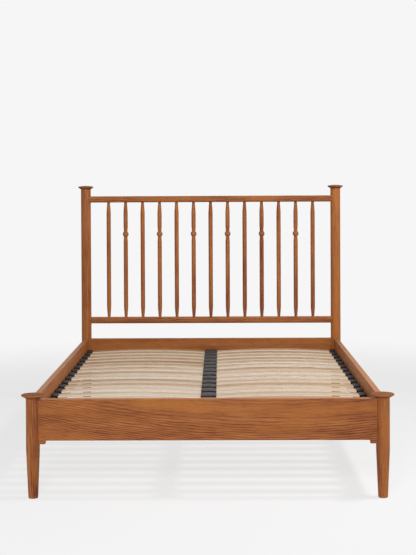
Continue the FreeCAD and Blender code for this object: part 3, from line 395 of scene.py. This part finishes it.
def bright_zinc(name):
    """Zinc-plated steel: a pale bluish metal whose crystals, cells of a few millimetres,
    differ a little in tone, with fine scratches and a yellow passivated tint."""
    material, tree = new_material(name)
    place = add(tree, "TexCoord", out="Object")
    cells = add(tree, "TexVoronoi", {"Vector": place, "Scale": 1000 / SPANGLE_MM},
                out="Color")
    cell = add(tree, "SeparateXYZ", {"Vector": cells}, out="X")
    stain = add(tree, "TexNoise", {"Vector": place, "Scale": 35.0, "Detail": 3.0},
                out="Fac")
    scratch = add(tree, "Mapping", {"Vector": place, "Scale": (400, 400, 30)})
    scratches = add(tree, "TexNoise", {"Vector": scratch, "Scale": 1.0, "Detail": 2.0},
                    out="Fac")
    tone = add(tree, "Mix", {0: cell, 6: linear("#a9acae"), 7: linear("#c6c9cb")},
               data_type="RGBA", out=2)
    tint = add(tree, "MapRange", {"Value": stain, "From Min": 0.5, "From Max": 0.75,
                                  "To Max": 0.5})
    colour = add(tree, "Mix", {0: tint, 6: tone, 7: linear("#b9b08c")},
                 data_type="RGBA", out=2)
    gloss = add(tree, "MapRange", {"Value": scratches, "From Min": 0.3, "From Max": 0.7,
                                   "To Min": 0.26, "To Max": 0.46})
    relief = add(tree, "Bump", {"Height": scratches, "Strength": 0.15,
                                "Distance": 0.0002})
    surface = add(tree, "BsdfPrincipled", {
        "Base Color": colour, "Metallic": 1.0, "Roughness": gloss, "Normal": relief})
    add(tree, "OutputMaterial", {"Surface": surface})
    return material


zinc = bright_zinc("bright_zinc_plated_steel")
nodes["centre_rail_hangers"].material_slots[0].material = zinc

# ---------------------------------------------------------------- centre leg and its bolt
# One leg of turned beech stands under the centre rail, on a threaded bolt. A levelling
# foot, a moulded pad on a zinc-plated threaded stem, screws in and out of its toe.

LEG_Y = MIDDLE_Y + 0.250          # the leg stands 250 mm from the middle, to the head
SHARP_DEGREES = 38                # faces that meet at more than this keep a sharp edge


def skin(name, shells, body, material, stands_for, wear=None):
    """A piece made of closed shells. A shell is rings of points: neighbouring rings are
    joined by four-sided faces, and the first and last are closed by a fan to their mean
    point. Its faces are turned over if the volume they enclose comes out negative. Wear
    gives each point of a ring its share of rubbing and painted highlight, from 0 to 1."""
    points, faces, first = [], [], 0
    for rings in shells:
        count, around = rings.shape[:2]
        shell = np.vstack((rings.reshape(-1, 3), rings[0].mean(0), rings[-1].mean(0)))
        row, spot = np.meshgrid(np.arange(count - 1), np.arange(around), indexing="ij")
        after = (spot + 1) % around
        quads = np.stack((row * around + spot, row * around + after,
                          (row + 1) * around + after, (row + 1) * around + spot), -1)
        spot, after = np.arange(around), (np.arange(around) + 1) % around
        end = (count - 1) * around
        fans = np.vstack((
            np.stack((after, spot, np.full(around, count * around)), -1),
            np.stack((end + spot, end + after, np.full(around, count * around + 1)), -1)))
        quads = quads.reshape(-1, 4)
        flat = np.vstack((quads[:, :3], quads[:, [0, 2, 3]], fans))
        a, b, c = (shell[flat[:, corner]] for corner in range(3))
        order = 1 if np.einsum("ij,ij->i", a, np.cross(b, c)).sum() > 0 else -1
        faces += (quads[:, ::order] + first).tolist() + (fans[:, ::order] + first).tolist()
        points.append(shell)
        first += len(shell)
    mesh = bpy.data.meshes.new(name)
    mesh.from_pydata(np.vstack(points).tolist(), [], faces)
    mesh.shade_smooth()
    mesh.set_sharp_from_angle(angle=math.radians(SHARP_DEGREES))
    if wear is not None:
        # The rubbed attribute holds rubbing and painted highlight together
        rubbed = mesh.attributes.new("rubbed", "FLOAT", "POINT")
        share = np.concatenate((wear.ravel(), wear[0, :1], wear[-1, :1]))
        rubbed.data.foreach_set("value", np.tile(share, len(shells)).astype(np.float32))
    mesh.materials.append(material)
    piece = bpy.data.objects.new(name, mesh)
    bpy.context.scene.collection.objects.link(piece)
    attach(piece, body)
    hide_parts(*stands_for)


def turned(radii, heights, steps):
    """Rings of a turned piece about its own Z: a circle of each radius at each height.
    Either may also be given for every angle, as rows of steps values."""
    angle = np.linspace(0, 2 * math.pi, steps, endpoint=False)
    radii = np.broadcast_to(np.reshape(radii, (len(radii), -1)), (len(radii), steps))
    heights = np.broadcast_to(np.reshape(heights, (len(heights), -1)), radii.shape)
    return np.stack((radii * np.cos(angle), radii * np.sin(angle), heights), -1)


ROD_RADIUS, ROD_PITCH, ROD_DEPTH, ROD_STEPS = 0.004, 0.00125, 0.0006, 20


def threaded_rod(low, high):
    """Rings of an 8 mm threaded rod about its own Z, five to a pitch. The radius is a
    cosine of the height in pitches less the angle in turns, so that the crest climbs one
    pitch a turn, and it falls to the root over one pitch at each end."""
    height = np.arange(low, high + ROD_PITCH / 10, ROD_PITCH / 5)[:, None]
    turn = np.linspace(0, 1, ROD_STEPS, endpoint=False)
    crest = (1 + np.cos(2 * math.pi * (height / ROD_PITCH - turn))) / 2
    ends = np.clip(np.minimum(height - low, high - height) / ROD_PITCH, 0, 1)
    return turned(ROD_RADIUS - ROD_DEPTH * (1 - crest * ends), height, ROD_STEPS)


def turned_beech(name, turn):
    """Beech: pale pinkish brown and close-grained, with short dark flecks of its rays."""
    material, tree = new_material(name)
    # Rings 6 mm apart and flecks 42 mm long: real ones, 3 and 4 mm, are too fine to show
    marks = timber_figure(tree, turn, heart=(0.03, 0.05), tilt=(0, 0), bow=(0, 0),
                          shift=0.7, ring_mm=6)
    tone = add(tree, "Mix", {0: marks["ring"], 6: linear("#dcb389"), 7: linear("#c9986a")},
               data_type="RGBA", out=2)
    mixed = add(tree, "Mix", {0: marks["streak"], 6: tone, 7: linear("#d3a478")},
                data_type="RGBA", out=2)
    fleck = add(tree, "MapRange", {"Value": marks["pore"], "From Min": 0.62,
                                   "From Max": 0.72, "To Max": 0.6})
    colour = add(tree, "Mix", {0: fleck, 6: mixed, 7: linear("#96643c")},
                 data_type="RGBA", out=2)
    dull = add(tree, "MapRange", {"Value": marks["fibre"], "To Min": 0.38, "To Max": 0.6})
    relief = add(tree, "Bump", {"Height": marks["fibre"], "Strength": 0.15,
                                "Distance": 0.0003})
    surface = add(tree, "BsdfPrincipled", {
        "Base Color": colour, "Roughness": dull, "Normal": relief})
    add(tree, "OutputMaterial", {"Surface": surface})
    return material


def moulded_black(name, gloss):
    """Black polypropylene as it leaves a spark-eroded mould: a fine even orange peel, a
    grey bloom in patches, and paler edges where the piece carries that mark, partly rubbing
    and partly a painted highlight."""
    material, tree = new_material(name)
    place = add(tree, "TexCoord", out="Object")
    # Texture 0.9 mm wide: the real one is a tenth of that, too fine to show
    peel = add(tree, "TexNoise", {"Vector": place, "Scale": 1100.0, "Detail": 2.0},
               out="Fac")
    bloom = add(tree, "TexNoise", {"Vector": place, "Scale": 60.0, "Detail": 4.0},
                out="Fac")
    tone = add(tree, "ValToRGB", {"Fac": bloom},
               stops=((0.35, "#100e0e"), (0.55, "#161413"), (0.75, "#201e1d")))
    # Pale edges: partly rubbing and partly a painted highlight on the upper corners and lip
    rubbed = add(tree, "Attribute", out="Fac", attribute_name="rubbed")
    edge = add(tree, "Math", {0: rubbed, 1: bloom}, operation="MULTIPLY")
    colour = add(tree, "Mix", {0: edge, 6: tone, 7: linear("#827e7d")},
                 data_type="RGBA", out=2)
    rough = add(tree, "MapRange", {"Value": peel, "From Min": 0.3, "From Max": 0.7,
                                   "To Min": gloss - 0.06, "To Max": gloss + 0.08})
    relief = add(tree, "Bump", {"Height": peel, "Strength": 0.2, "Distance": 0.0002})
    surface = add(tree, "BsdfPrincipled", {
        "Base Color": colour, "Roughness": rough, "Normal": relief,
        "Specular IOR Level": 0.14})
    add(tree, "OutputMaterial", {"Surface": surface})
    return material


nodes["centre_leg"].material_slots[0].material = turned_beech("turned_beech_leg", UPRIGHT)

BOLT_LOW, BOLT_HIGH = 0.219, 0.289
rod = threaded_rod(BOLT_LOW, BOLT_HIGH) + (0, LEG_Y, 0)
skin("leg_hanger_bolt", [rod], "frame", zinc, ["leg_bolt"])

# The pad: a flat foot with a rolled edge and a raised ring where the collar sits. Its rim
# is cut back, by a share of the radius, where a sine of the angle is over a half
PAD_MM = ((15.5, 0), (17.6, 0.2), (18.7, 1.2), (19, 2.6), (19, 4.8), (18.4, 6.2),
          (17, 7), (11.5, 7), (10.6, 6.4), (9.4, 6.4), (8.6, 7))
RIBS, RIB_SHARE, RIBBED_FROM = 15, 0.012, 0.0185
PAD_STEPS, COLLAR_STEPS = 120, 48
half_angle = np.linspace(0, math.pi, PAD_STEPS, endpoint=False)
ribs = 1 - RIB_SHARE * (np.abs(np.sin(RIBS * half_angle)) > 0.5)
radii, heights = np.array(PAD_MM).T / 1000
ribbed = radii[:, None] * np.where(radii[:, None] > RIBBED_FROM, ribs, 1)
pad = turned(ribbed, heights, PAD_STEPS) + (0, LEG_Y, 0)
skin("levelling_pad", [pad], "levelling_foot",
     moulded_black("moulded_polypropylene_pad", 0.5), ["levelling_foot"])

# The collar: a hexagon is a circle whose radius is one over the cosine of the angle from
# the middle of each flat. Both its ends are drawn in a little
HALF_ACROSS_FLATS, COLLAR_DRAW = 0.00606, 0.94
COLLAR_HEIGHTS = np.array((0.0070, 0.0074, 0.0134, 0.0140))
STEM_LOW, STEM_HIGH = 0.0138, 0.064
angle = np.linspace(0, 2 * math.pi, COLLAR_STEPS, endpoint=False)
hexagon = HALF_ACROSS_FLATS / np.cos((angle % (math.pi / 3)) - math.pi / 6)
drawn_in = hexagon * COLLAR_DRAW
collar = turned(np.stack((drawn_in, hexagon, hexagon, drawn_in)), COLLAR_HEIGHTS,
                COLLAR_STEPS) + (0, LEG_Y, 0)
stem = threaded_rod(STEM_LOW, STEM_HIGH) + (0, LEG_Y, 0)
skin("levelling_stem", [collar, stem], "levelling_foot", zinc,
     ["levelling_foot"])

# ---------------------------------------------------------------- sprung slats
# Thirty-two slats in two columns, each glued up from veneers of birch and pressed to a low
# bow. Their faces are peeled veneer, tan with fine lines. Their edges show the plies and
# are paler, partly the birch's own colour and partly painted light from the front.

ROWS, ROWS_SPAN = 16, 1.762
ROW_PITCH, FIRST_ROW_Y = ROWS_SPAN / (ROWS - 1), MIDDLE_Y - ROWS_SPAN / 2
SLAT_INNER, SLAT_SPAN, SLAT_LOW = 0.0080, 0.6730, 0.3273      # inner end, length, underside
SLAT_THICK, SLAT_BOW, PLIES = 0.008, 0.012, 6
FACE_FROM, FACE_FULL = 0.0009, 0.0004     # under a face, where its look starts and is full
VENEER_MARKS = (                  # name, length and width in mm, detail
    ("broad", 1100, 22, 2.0), ("fine", 260, 6, 4.0), ("knot", 70, 5, 1.0))


def birch_laminate(name):
    """Pressed birch veneers: a pale tan face with fine long lines and small knots. Each
    slat has a tone and a shift of its own, from its row and its side of the bed. On the
    edges, the ply is the height over the bowed underside in shares of the thickness; the
    bow is four times the rise, by the share of the span run, by the share left."""
    material, tree = new_material(name)
    place = add(tree, "TexCoord", out="Object")
    x = add(tree, "SeparateXYZ", {"Vector": place}, out="X")
    y = add(tree, "SeparateXYZ", {"Vector": place}, out="Y")
    z = add(tree, "SeparateXYZ", {"Vector": place}, out="Z")
    rows = add(tree, "Math", {0: y, 1: 1 / ROW_PITCH,
                              2: 0.5 - FIRST_ROW_Y / ROW_PITCH}, operation="MULTIPLY_ADD")
    row = add(tree, "Math", {0: rows}, operation="FLOOR")
    side = add(tree, "Math", {0: x}, operation="SIGN")
    which = add(tree, "CombineXYZ", {"X": row, "Y": side, "Z": 0.0})
    chance = add(tree, "TexWhiteNoise", {"Vector": which}, out="Color",
                 noise_dimensions="3D")
    own = add(tree, "SeparateXYZ", {"Vector": chance}, out="X")
    other = add(tree, "SeparateXYZ", {"Vector": chance}, out="Y")
    moved = add(tree, "VectorMath", {0: chance, 1: (3.0, 3.0, 3.0)},
                operation="MULTIPLY")
    apart = add(tree, "VectorMath", {0: place, 1: moved}, operation="ADD")

    marks = long_marks(tree, apart, VENEER_MARKS)
    fine = marks["fine"]
    depth = add(tree, "Math", {0: fine, 1: 0.75, 2: -0.74}, operation="MULTIPLY_ADD")
    depth = add(tree, "Math", {0: marks["broad"], 1: 1.0, 2: depth},
                operation="MULTIPLY_ADD")
    depth = add(tree, "Math", {0: own, 1: 0.82, 2: depth}, operation="MULTIPLY_ADD")
    veneer = add(tree, "ValToRGB", {"Fac": depth},
                 stops=((0.12, "#f0dfc9"), (0.36, "#d9ba96"), (0.62, "#c69e74"),
                        (1, "#98663c")))
    rosy = add(tree, "MapRange", {"Value": other, "From Min": 0.4, "To Max": 0.7})
    tinted = add(tree, "Mix", {0: rosy, 6: veneer, 7: linear("#d4ad94")},
                 data_type="RGBA", out=2)
    knot = add(tree, "MapRange", {"Value": marks["knot"], "From Min": 0.71,
                                  "From Max": 0.78, "To Max": 0.8})
    face = add(tree, "Mix", {0: knot, 6: tinted, 7: linear("#8a5326")},
               data_type="RGBA", out=2)

    far = add(tree, "Math", {0: x}, operation="ABSOLUTE")
    share = add(tree, "MapRange", {"Value": far, "From Min": SLAT_INNER,
                                   "From Max": SLAT_INNER + SLAT_SPAN})
    left = add(tree, "Math", {0: 1.0, 1: share}, operation="SUBTRACT")
    rise = add(tree, "Math", {0: share, 1: left}, operation="MULTIPLY")
    under = add(tree, "Math", {0: rise, 1: 4 * SLAT_BOW, 2: SLAT_LOW},
                operation="MULTIPLY_ADD")
    over = add(tree, "Math", {0: z, 1: under}, operation="SUBTRACT")
    plies = add(tree, "Math", {0: over, 1: PLIES / SLAT_THICK}, operation="MULTIPLY")
    ply = add(tree, "Math", {0: plies}, operation="FLOOR")
    cross = add(tree, "Math", {0: ply, 1: 2.0}, operation="MODULO")
    # The ply edges are near white: partly pale birch and partly painted light falling from
    # the front
    pale_plies_and_painted_light = add(tree, "Mix", {0: cross, 6: linear("#fbf6ec"), 7: linear("#e9d8bb")},
                data_type="RGBA", out=2)
    pale_plies_and_painted_light = add(tree, "Mix", {0: own, 6: pale_plies_and_painted_light, 7: linear("#dcc7a8")},
                data_type="RGBA", out=2)
    middle = add(tree, "Math", {0: over, 1: SLAT_THICK / 2}, operation="SUBTRACT")
    outward = add(tree, "Math", {0: middle}, operation="ABSOLUTE")
    on_face = add(tree, "MapRange", {"Value": outward,
                                     "From Min": SLAT_THICK / 2 - FACE_FROM,
                                     "From Max": SLAT_THICK / 2 - FACE_FULL})
    colour = add(tree, "Mix", {0: on_face, 6: pale_plies_and_painted_light, 7: face}, data_type="RGBA", out=2)
    dull = add(tree, "MapRange", {"Value": fine, "From Min": 0.3, "From Max": 0.7,
                                  "To Min": 0.42, "To Max": 0.6})
    relief = add(tree, "Bump", {"Height": fine, "Strength": 0.2, "Distance": 0.0004})
    surface = add(tree, "BsdfPrincipled", {
        "Base Color": colour, "Roughness": dull, "Normal": relief, "IOR": 1.45,
        "Specular IOR Level": 0.4})
    add(tree, "OutputMaterial", {"Surface": surface})
    return material


birch = birch_laminate("pressed_birch_laminate")
for row in range(1, ROWS + 1):
    nodes[f"slat_row_{row:02d}"].material_slots[0].material = birch

# ---------------------------------------------------------------- slat holders
# Moulded black caps that grip the slat ends: single ones along the side rails, double ones
# down the centre rail, crowned on top. A peg under each is pushed into the rail below.

HOLDER_LOW, HOLDER_HIGH, HOLDER_HALF = 0.3240, 0.3399, 0.0335
SOCKET_LOW, SOCKET_HIGH, SOCKET_HALF = 0.3270, 0.3374, 0.0303
CENTRE_MOUTH, CENTRE_SOCKET_END = 0.0340, 0.0077
SIDE_MOUTH, SIDE_SOCKET_END, SIDE_BACK = 0.6550, 0.6813, 0.6870
LIP, CROWN = 0.0011, 0.0022
SIDE_CROWN_ARC = 0.62             # share of a half wave that a side holder's crown follows
SOCKET_CORNER, HOLDER_CORNER = 0.0012, 0.0030
LOWER_CORNER_SHARE = 0.3          # radius of a lower corner, as a share of an upper one's
CORNER_STEPS, PEG_STEPS = 6, 12
PEG_X, PEG_LOW, PEG_RADIUS = 0.6750, 0.3120, 0.0040
# The side holders get less of the rubbing and of the painted highlight
SIDE_RUB_AND_HIGHLIGHT = 0.3                    # the side holders, under the rails, are rubbed less


def boxed_rings(x, share, crown):
    """Rings of a holder: upright rounded rectangles at each x. A share of 0 is the socket
    and 1 is the outside, and both the sizes and the corner's radius go evenly from one to
    the other; the crown is added to the top."""
    half = SOCKET_HALF + share * (HOLDER_HALF - SOCKET_HALF)
    low = SOCKET_LOW + share * (HOLDER_LOW - SOCKET_LOW)
    high = SOCKET_HIGH + share * (HOLDER_HIGH - SOCKET_HIGH) + crown
    corner = SOCKET_CORNER + share * (HOLDER_CORNER - SOCKET_CORNER)
    angle = (np.linspace(0, math.pi / 2, CORNER_STEPS)
             + np.arange(4)[:, None] * math.pi / 2).ravel()
    out = np.repeat([1, -1, -1, 1], CORNER_STEPS)
    over = np.repeat([1, 1, -1, -1], CORNER_STEPS)
    half, low, high, corner = (v[:, None] for v in (half, low, high, corner))
    corner = np.where(over < 0, corner * LOWER_CORNER_SHARE, corner)
    y = out * (half - corner) + corner * np.cos(angle)
    z = np.where(over > 0, high - corner, low + corner) + corner * np.sin(angle)
    return np.stack((np.broadcast_to(x[:, None], y.shape), y, z), -1)


lip_angle = np.linspace(0, math.pi, 7)
lip_out, lip_share = LIP * np.sin(lip_angle), (1 - np.cos(lip_angle)) / 2

# Half of a double holder, from the end of its socket out to the lip and back to the middle
over_x = np.linspace(CENTRE_MOUTH - LIP, 0, 9)[1:]
half_x = np.concatenate(([CENTRE_SOCKET_END], CENTRE_MOUTH - LIP + lip_out, over_x))
half_share = np.concatenate(([0], lip_share, np.ones(len(over_x))))
both_x = np.concatenate((half_x, -half_x[-2::-1]))
both_share = np.concatenate((half_share, half_share[-2::-1]))
bulge = both_share * CROWN * (1 - (both_x / CENTRE_MOUTH) ** 2)
double = boxed_rings(both_x, both_share, bulge)

# A single holder, from the end of its socket out to the lip and back to the side rail
back_x = np.linspace(SIDE_MOUTH + LIP, SIDE_BACK, 7)[1:]
single_x = np.concatenate(([SIDE_SOCKET_END], SIDE_MOUTH + LIP - lip_out, back_x))
single_share = np.concatenate(([0], lip_share, np.ones(len(back_x))))
inward = np.clip((single_x - SIDE_MOUTH) / (SIDE_BACK - SIDE_MOUTH), 0, 1)
bulge = single_share * CROWN * np.sin(math.pi * inward * SIDE_CROWN_ARC)
single = boxed_rings(single_x, single_share, bulge)

# A peg: its tip is rounded, and a waist lets it spring into its hole
PEG_WAIST = PEG_RADIUS * 0.86
peg = turned((0.0022, 0.0036, PEG_RADIUS, PEG_WAIST, PEG_RADIUS, PEG_RADIUS),
             np.array((0, 0.8, 2.4, 5.5, 8.5, 13.5)) / 1000 + PEG_LOW, PEG_STEPS)
row_places = [(0, FIRST_ROW_Y + row * ROW_PITCH, 0) for row in range(ROWS)]


def rubbed_and_highlit_corners(share):
    """The share of rubbing and painted highlight at each point of a holder's rings: a sine
    along the two upper corners, which fades into the flats, and a bell curve round the lip."""
    corner = np.sin(2 * np.linspace(0, math.pi / 2, CORNER_STEPS))
    around = np.concatenate((corner, corner, corner * 0, corner * 0))
    lip = np.exp(-((share[:, None] - 0.75) / 0.2) ** 2)
    return np.clip(share[:, None] * around + lip * 0.6, 0, 1)


holder_black = moulded_black("moulded_polypropylene_holders", 0.42)
skin("centre_double_holders", [double + place for place in row_places], "frame",
     holder_black, ["centre_slat_holders"],
     wear=rubbed_and_highlit_corners(both_share))
for side, sign in (("left", -1), ("right", 1)):
    skin(f"side_single_holders_{side}",
         [single * (sign, 1, 1) + place for place in row_places], "frame",
         holder_black, [f"side_slat_holders_{side}"],
         wear=rubbed_and_highlit_corners(single_share) * SIDE_RUB_AND_HIGHLIGHT)
    skin(f"side_holder_pegs_{side}",
         [peg + (sign * PEG_X, 0, 0) + place for place in row_places], "frame",
         holder_black, [f"side_slat_holders_{side}"])
skin("centre_holder_pegs", [peg + place for place in row_places], "frame",
     holder_black, ["centre_slat_holders"])

# ---------------------------------------------------------------- side rail joints
# Each side rail is drawn to its posts by a threaded stud, a half-moon washer and a nut in
# a pocket of its inner face, and kept from turning by two beech dowels.

STUD_HEIGHT, STUD_START, STUD_END = 0.262, 0.013, 0.083

stud = threaded_rod(STUD_START, STUD_END)
studs = [np.stack((stud[..., 0] + x * POST_X,
                   MIDDLE_Y + y * (POST_Y - stud[..., 2]),
                   stud[..., 1] + STUD_HEIGHT), -1) for x in (-1, 1) for y in (-1, 1)]
skin("threaded_rail_studs", studs, "frame", zinc, ["rail_studs"])
for part in ("threaded_inserts", "half_moon_washers", "rail_nuts"):
    nodes[part].material_slots[0].material = zinc
nodes["rail_dowels"].material_slots[0].material = turned_beech("turned_beech_dowels",
                                                               LENGTHWISE)

# ---------------------------------------------------------------- wood screws
# Zinc-plated round-headed screws with a cross recess hold the ledgers to the side rails
# and the steel hangers to the head and foot boards.

HEAD_RADIUS, HEAD_HIGH, BRIM_HIGH, SHANK_RADIUS = 0.0050, 0.0034, 0.0005, 0.0025
CROSS_DEPTH, CROSS_HALF_WIDTH, CROSS_REACH = 0.0014, 0.00055, 0.0027
SCREW_PITCH, SCREW_CUT = 0.0022, 0.0008
POINT_LENGTH, POINT_SHARE = 0.006, 0.12   # the point keeps this share of the shank
SCREW_STEPS, DOME_RINGS, RING_GAP = 32, 12, 0.00045


def wood_screw(length, thread_start):
    """Rings of a screw about its own Z, which points into the wood from a face at 0. The
    head is a half ellipse less a cross-shaped dip; the thread is a cosine that climbs one
    pitch a turn, on a shank that narrows to its point over the last 6 mm."""
    angle = np.linspace(0, 2 * math.pi, SCREW_STEPS, endpoint=False)
    over = np.linspace(0.06, 0.98, DOME_RINGS)[:, None] * HEAD_RADIUS
    nearest = np.minimum(np.abs(np.cos(angle)), np.abs(np.sin(angle))) * over
    dip = CROSS_DEPTH * np.exp(-(nearest / CROSS_HALF_WIDTH) ** 4
                               - (over / CROSS_REACH) ** 6)
    dome = -HEAD_HIGH * np.sqrt(1 - (over / HEAD_RADIUS) ** 2) + dip
    brim_r, brim_h = (HEAD_RADIUS, HEAD_RADIUS, SHANK_RADIUS), (-BRIM_HIGH, 0, 0)
    depth = np.arange(0.0005, length, RING_GAP)[:, None]
    taper = np.clip((length - depth) / POINT_LENGTH, POINT_SHARE, 1)
    crest = (1 + np.cos(2 * math.pi * depth / SCREW_PITCH - angle)) / 2
    cut = SCREW_CUT * (1 - crest) * (depth > thread_start)
    radii = np.vstack((np.broadcast_to(over, dome.shape),
                       np.tile(np.reshape(brim_r, (3, 1)), SCREW_STEPS),
                       (SHANK_RADIUS - cut) * taper))
    heights = np.vstack((dome, np.tile(np.reshape(brim_h, (3, 1)), SCREW_STEPS),
                         np.broadcast_to(depth, (len(depth), SCREW_STEPS))))
    return turned(radii, heights, SCREW_STEPS)


LEDGER_FACE, LEDGER_SCREW_HEIGHT, LEDGER_SCREW_Y = 0.663, 0.303, 0.820
HANGER_FACE, HANGER_SCREW_HEIGHT, HANGER_SCREW_X = 0.955, 0.280, 0.0333

long_screw = wood_screw(length=0.040, thread_start=0.014)[..., [2, 0, 1]]
sideways = [long_screw * (x, x, 1) + (x * LEDGER_FACE, MIDDLE_Y + y, LEDGER_SCREW_HEIGHT)
            for x in (-1, 1) for y in np.linspace(-LEDGER_SCREW_Y, LEDGER_SCREW_Y, 6)]
skin("ledger_wood_screws", sideways, "frame", zinc,
     ["ledger_screws"])
short_screw = wood_screw(length=0.020, thread_start=0.006)[..., [0, 2, 1]] * (-1, 1, 1)
endways = [short_screw * (y, y, 1) + (x * HANGER_SCREW_X, MIDDLE_Y + y * HANGER_FACE,
                                      HANGER_SCREW_HEIGHT)
           for x in (-1, 1) for y in (-1, 1)]
skin("hanger_wood_screws", endways, "frame", zinc,
     ["hanger_screws"])

# ---------------------------------------------------------------- camera, floor and light
# The bed stands on a pale floor that runs out into an even pale background. A camera at
# chest height looks along the bed from well beyond its foot.

FOCAL_PIXELS = 1192.6
FRAME_WIDE, FRAME_HIGH = 416, 555         # the picture, in pixels
CENTRE_ACROSS, CENTRE_DOWN = 208.0, 207.3     # where the lens points, in its pixels
SENSOR_MM = 36
CAMERA_PLACE = Vector((0.0527, -5.7240, 1.2294))
YAW, TIP, ROLL = (math.radians(turn) for turn in (-0.570, 0.819, -0.259))

forward = Vector((math.sin(YAW) * math.cos(TIP), math.cos(YAW) * math.cos(TIP),
                  -math.sin(TIP)))
level = Vector((math.cos(YAW), -math.sin(YAW), 0))
upright = level.cross(forward)
across = level * math.cos(ROLL) + upright * math.sin(ROLL)
up = upright * math.cos(ROLL) - level * math.sin(ROLL)

lens = bpy.data.cameras.new("camera")
lens.sensor_width = SENSOR_MM
lens.lens = FOCAL_PIXELS * SENSOR_MM / FRAME_HIGH
lens.shift_x = (FRAME_WIDE / 2 - CENTRE_ACROSS) / FRAME_HIGH
lens.shift_y = (CENTRE_DOWN - FRAME_HIGH / 2) / FRAME_HIGH
camera = bpy.data.objects.new("camera", lens)
camera.matrix_world = Matrix((across, up, -forward)).transposed().to_4x4()
camera.matrix_world.translation = CAMERA_PLACE
bpy.context.scene.collection.objects.link(camera)
bpy.context.scene.camera = camera
bpy.context.scene.view_settings.view_transform = "Standard"

BACKGROUND = linear("#f7f6f7")
WORLD_LIGHT = 0.21                # strength of the light that comes from all round


def seen_directly(tree):
    """1 for a ray from the camera, off a glossy surface or through a clear one, and 0 for
    the light that falls on the surfaces."""
    rays = tree.nodes.new("ShaderNodeLightPath").outputs
    seen = add(tree, "Math", {0: rays["Is Camera Ray"], 1: rays["Is Glossy Ray"]},
               operation="MAXIMUM")
    return add(tree, "Math", {0: seen, 1: rays["Is Transmission Ray"]},
               operation="MAXIMUM")


world = bpy.data.worlds.new("studio")
bpy.context.scene.world = world
world.use_nodes = True
tree = world.node_tree
tree.nodes.clear()
seen = seen_directly(tree)
lit = add(tree, "Background", {"Color": (1, 1, 1, 1), "Strength": WORLD_LIGHT})
shown = add(tree, "Background", {"Color": BACKGROUND, "Strength": 1.0})
add(tree, "OutputWorld", {"Surface": add(tree, "MixShader", {0: seen, 1: lit, 2: shown})})


def studio_lamp(name, place, aim, size, watts):
    """A soft rectangular lamp that points from one place to another."""
    light = bpy.data.lights.new(name, "AREA")
    light.shape, (light.size, light.size_y), light.energy = "RECTANGLE", size, watts
    lamp = bpy.data.objects.new(name, light)
    turn = (Vector(aim) - Vector(place)).to_track_quat("-Z", "Y")
    lamp.matrix_world = Matrix.LocRotScale(Vector(place), turn, None)
    lamp.visible_camera = False
    bpy.context.scene.collection.objects.link(lamp)


studio_lamp("overhead_lamp", place=(1.5, -0.9, 2.75), aim=(0, -0.3, 0.3),
            size=(0.5, 0.4), watts=43)
studio_lamp("front_lamp", place=(-0.4, -5.2, 2.6), aim=(0, 0, 0.6), size=(1.4, 1.0),
            watts=107)
studio_lamp("right_lamp", place=(2.3, -1.5, 1.2), aim=(0.6, -0.6, 0.6), size=(0.5, 1.0),
            watts=3)
studio_lamp("left_lamp", place=(-2.3, -1.5, 0.6), aim=(-0.6, -0.6, 0.5),
            size=(0.5, 0.6), watts=4)

FLOOR_REACH = 9
FLOOR_GLOW = 0.70                 # share of its own light, which keeps shadows faint
FADE_STARTS, FADE_ENDS = 1.9, 4.4     # how far out the floor turns into the background
shape = bpy.data.meshes.new("floor")
shape.from_pydata([(x * FLOOR_REACH, y * FLOOR_REACH, 0)
                   for x, y in ((-1, -1), (1, -1), (1, 1), (-1, 1))], [], [(0, 1, 2, 3)])
floor = bpy.data.objects.new("floor", shape)
bpy.context.scene.collection.objects.link(floor)

# Matt white paper: without gloss, so the eye sees only the bed's soft shadow on it
paper, tree = new_material("matt_white_paper")
place = add(tree, "TexCoord", out="Object")
distance = add(tree, "VectorMath", {0: place}, operation="LENGTH", out="Value")
fade = add(tree, "MapRange", {"Value": distance, "From Min": FADE_STARTS,
                              "From Max": FADE_ENDS}, interpolation_type="SMOOTHSTEP")
seen = seen_directly(tree)
fade = add(tree, "Math", {0: fade, 1: seen}, operation="MULTIPLY")
glow = add(tree, "Math", {0: seen, 1: FLOOR_GLOW}, operation="MULTIPLY")
matt = add(tree, "BsdfDiffuse", {"Color": linear("#e8e7e8")})
bright = add(tree, "Emission", {"Color": linear("#ffffff"), "Strength": 1.0})
pale = add(tree, "Emission", {"Color": BACKGROUND, "Strength": 1.0})
near = add(tree, "MixShader", {0: glow, 1: matt, 2: bright})
surface = add(tree, "MixShader", {0: fade, 1: near, 2: pale})
add(tree, "OutputMaterial", {"Surface": surface})
shape.materials.append(paper)
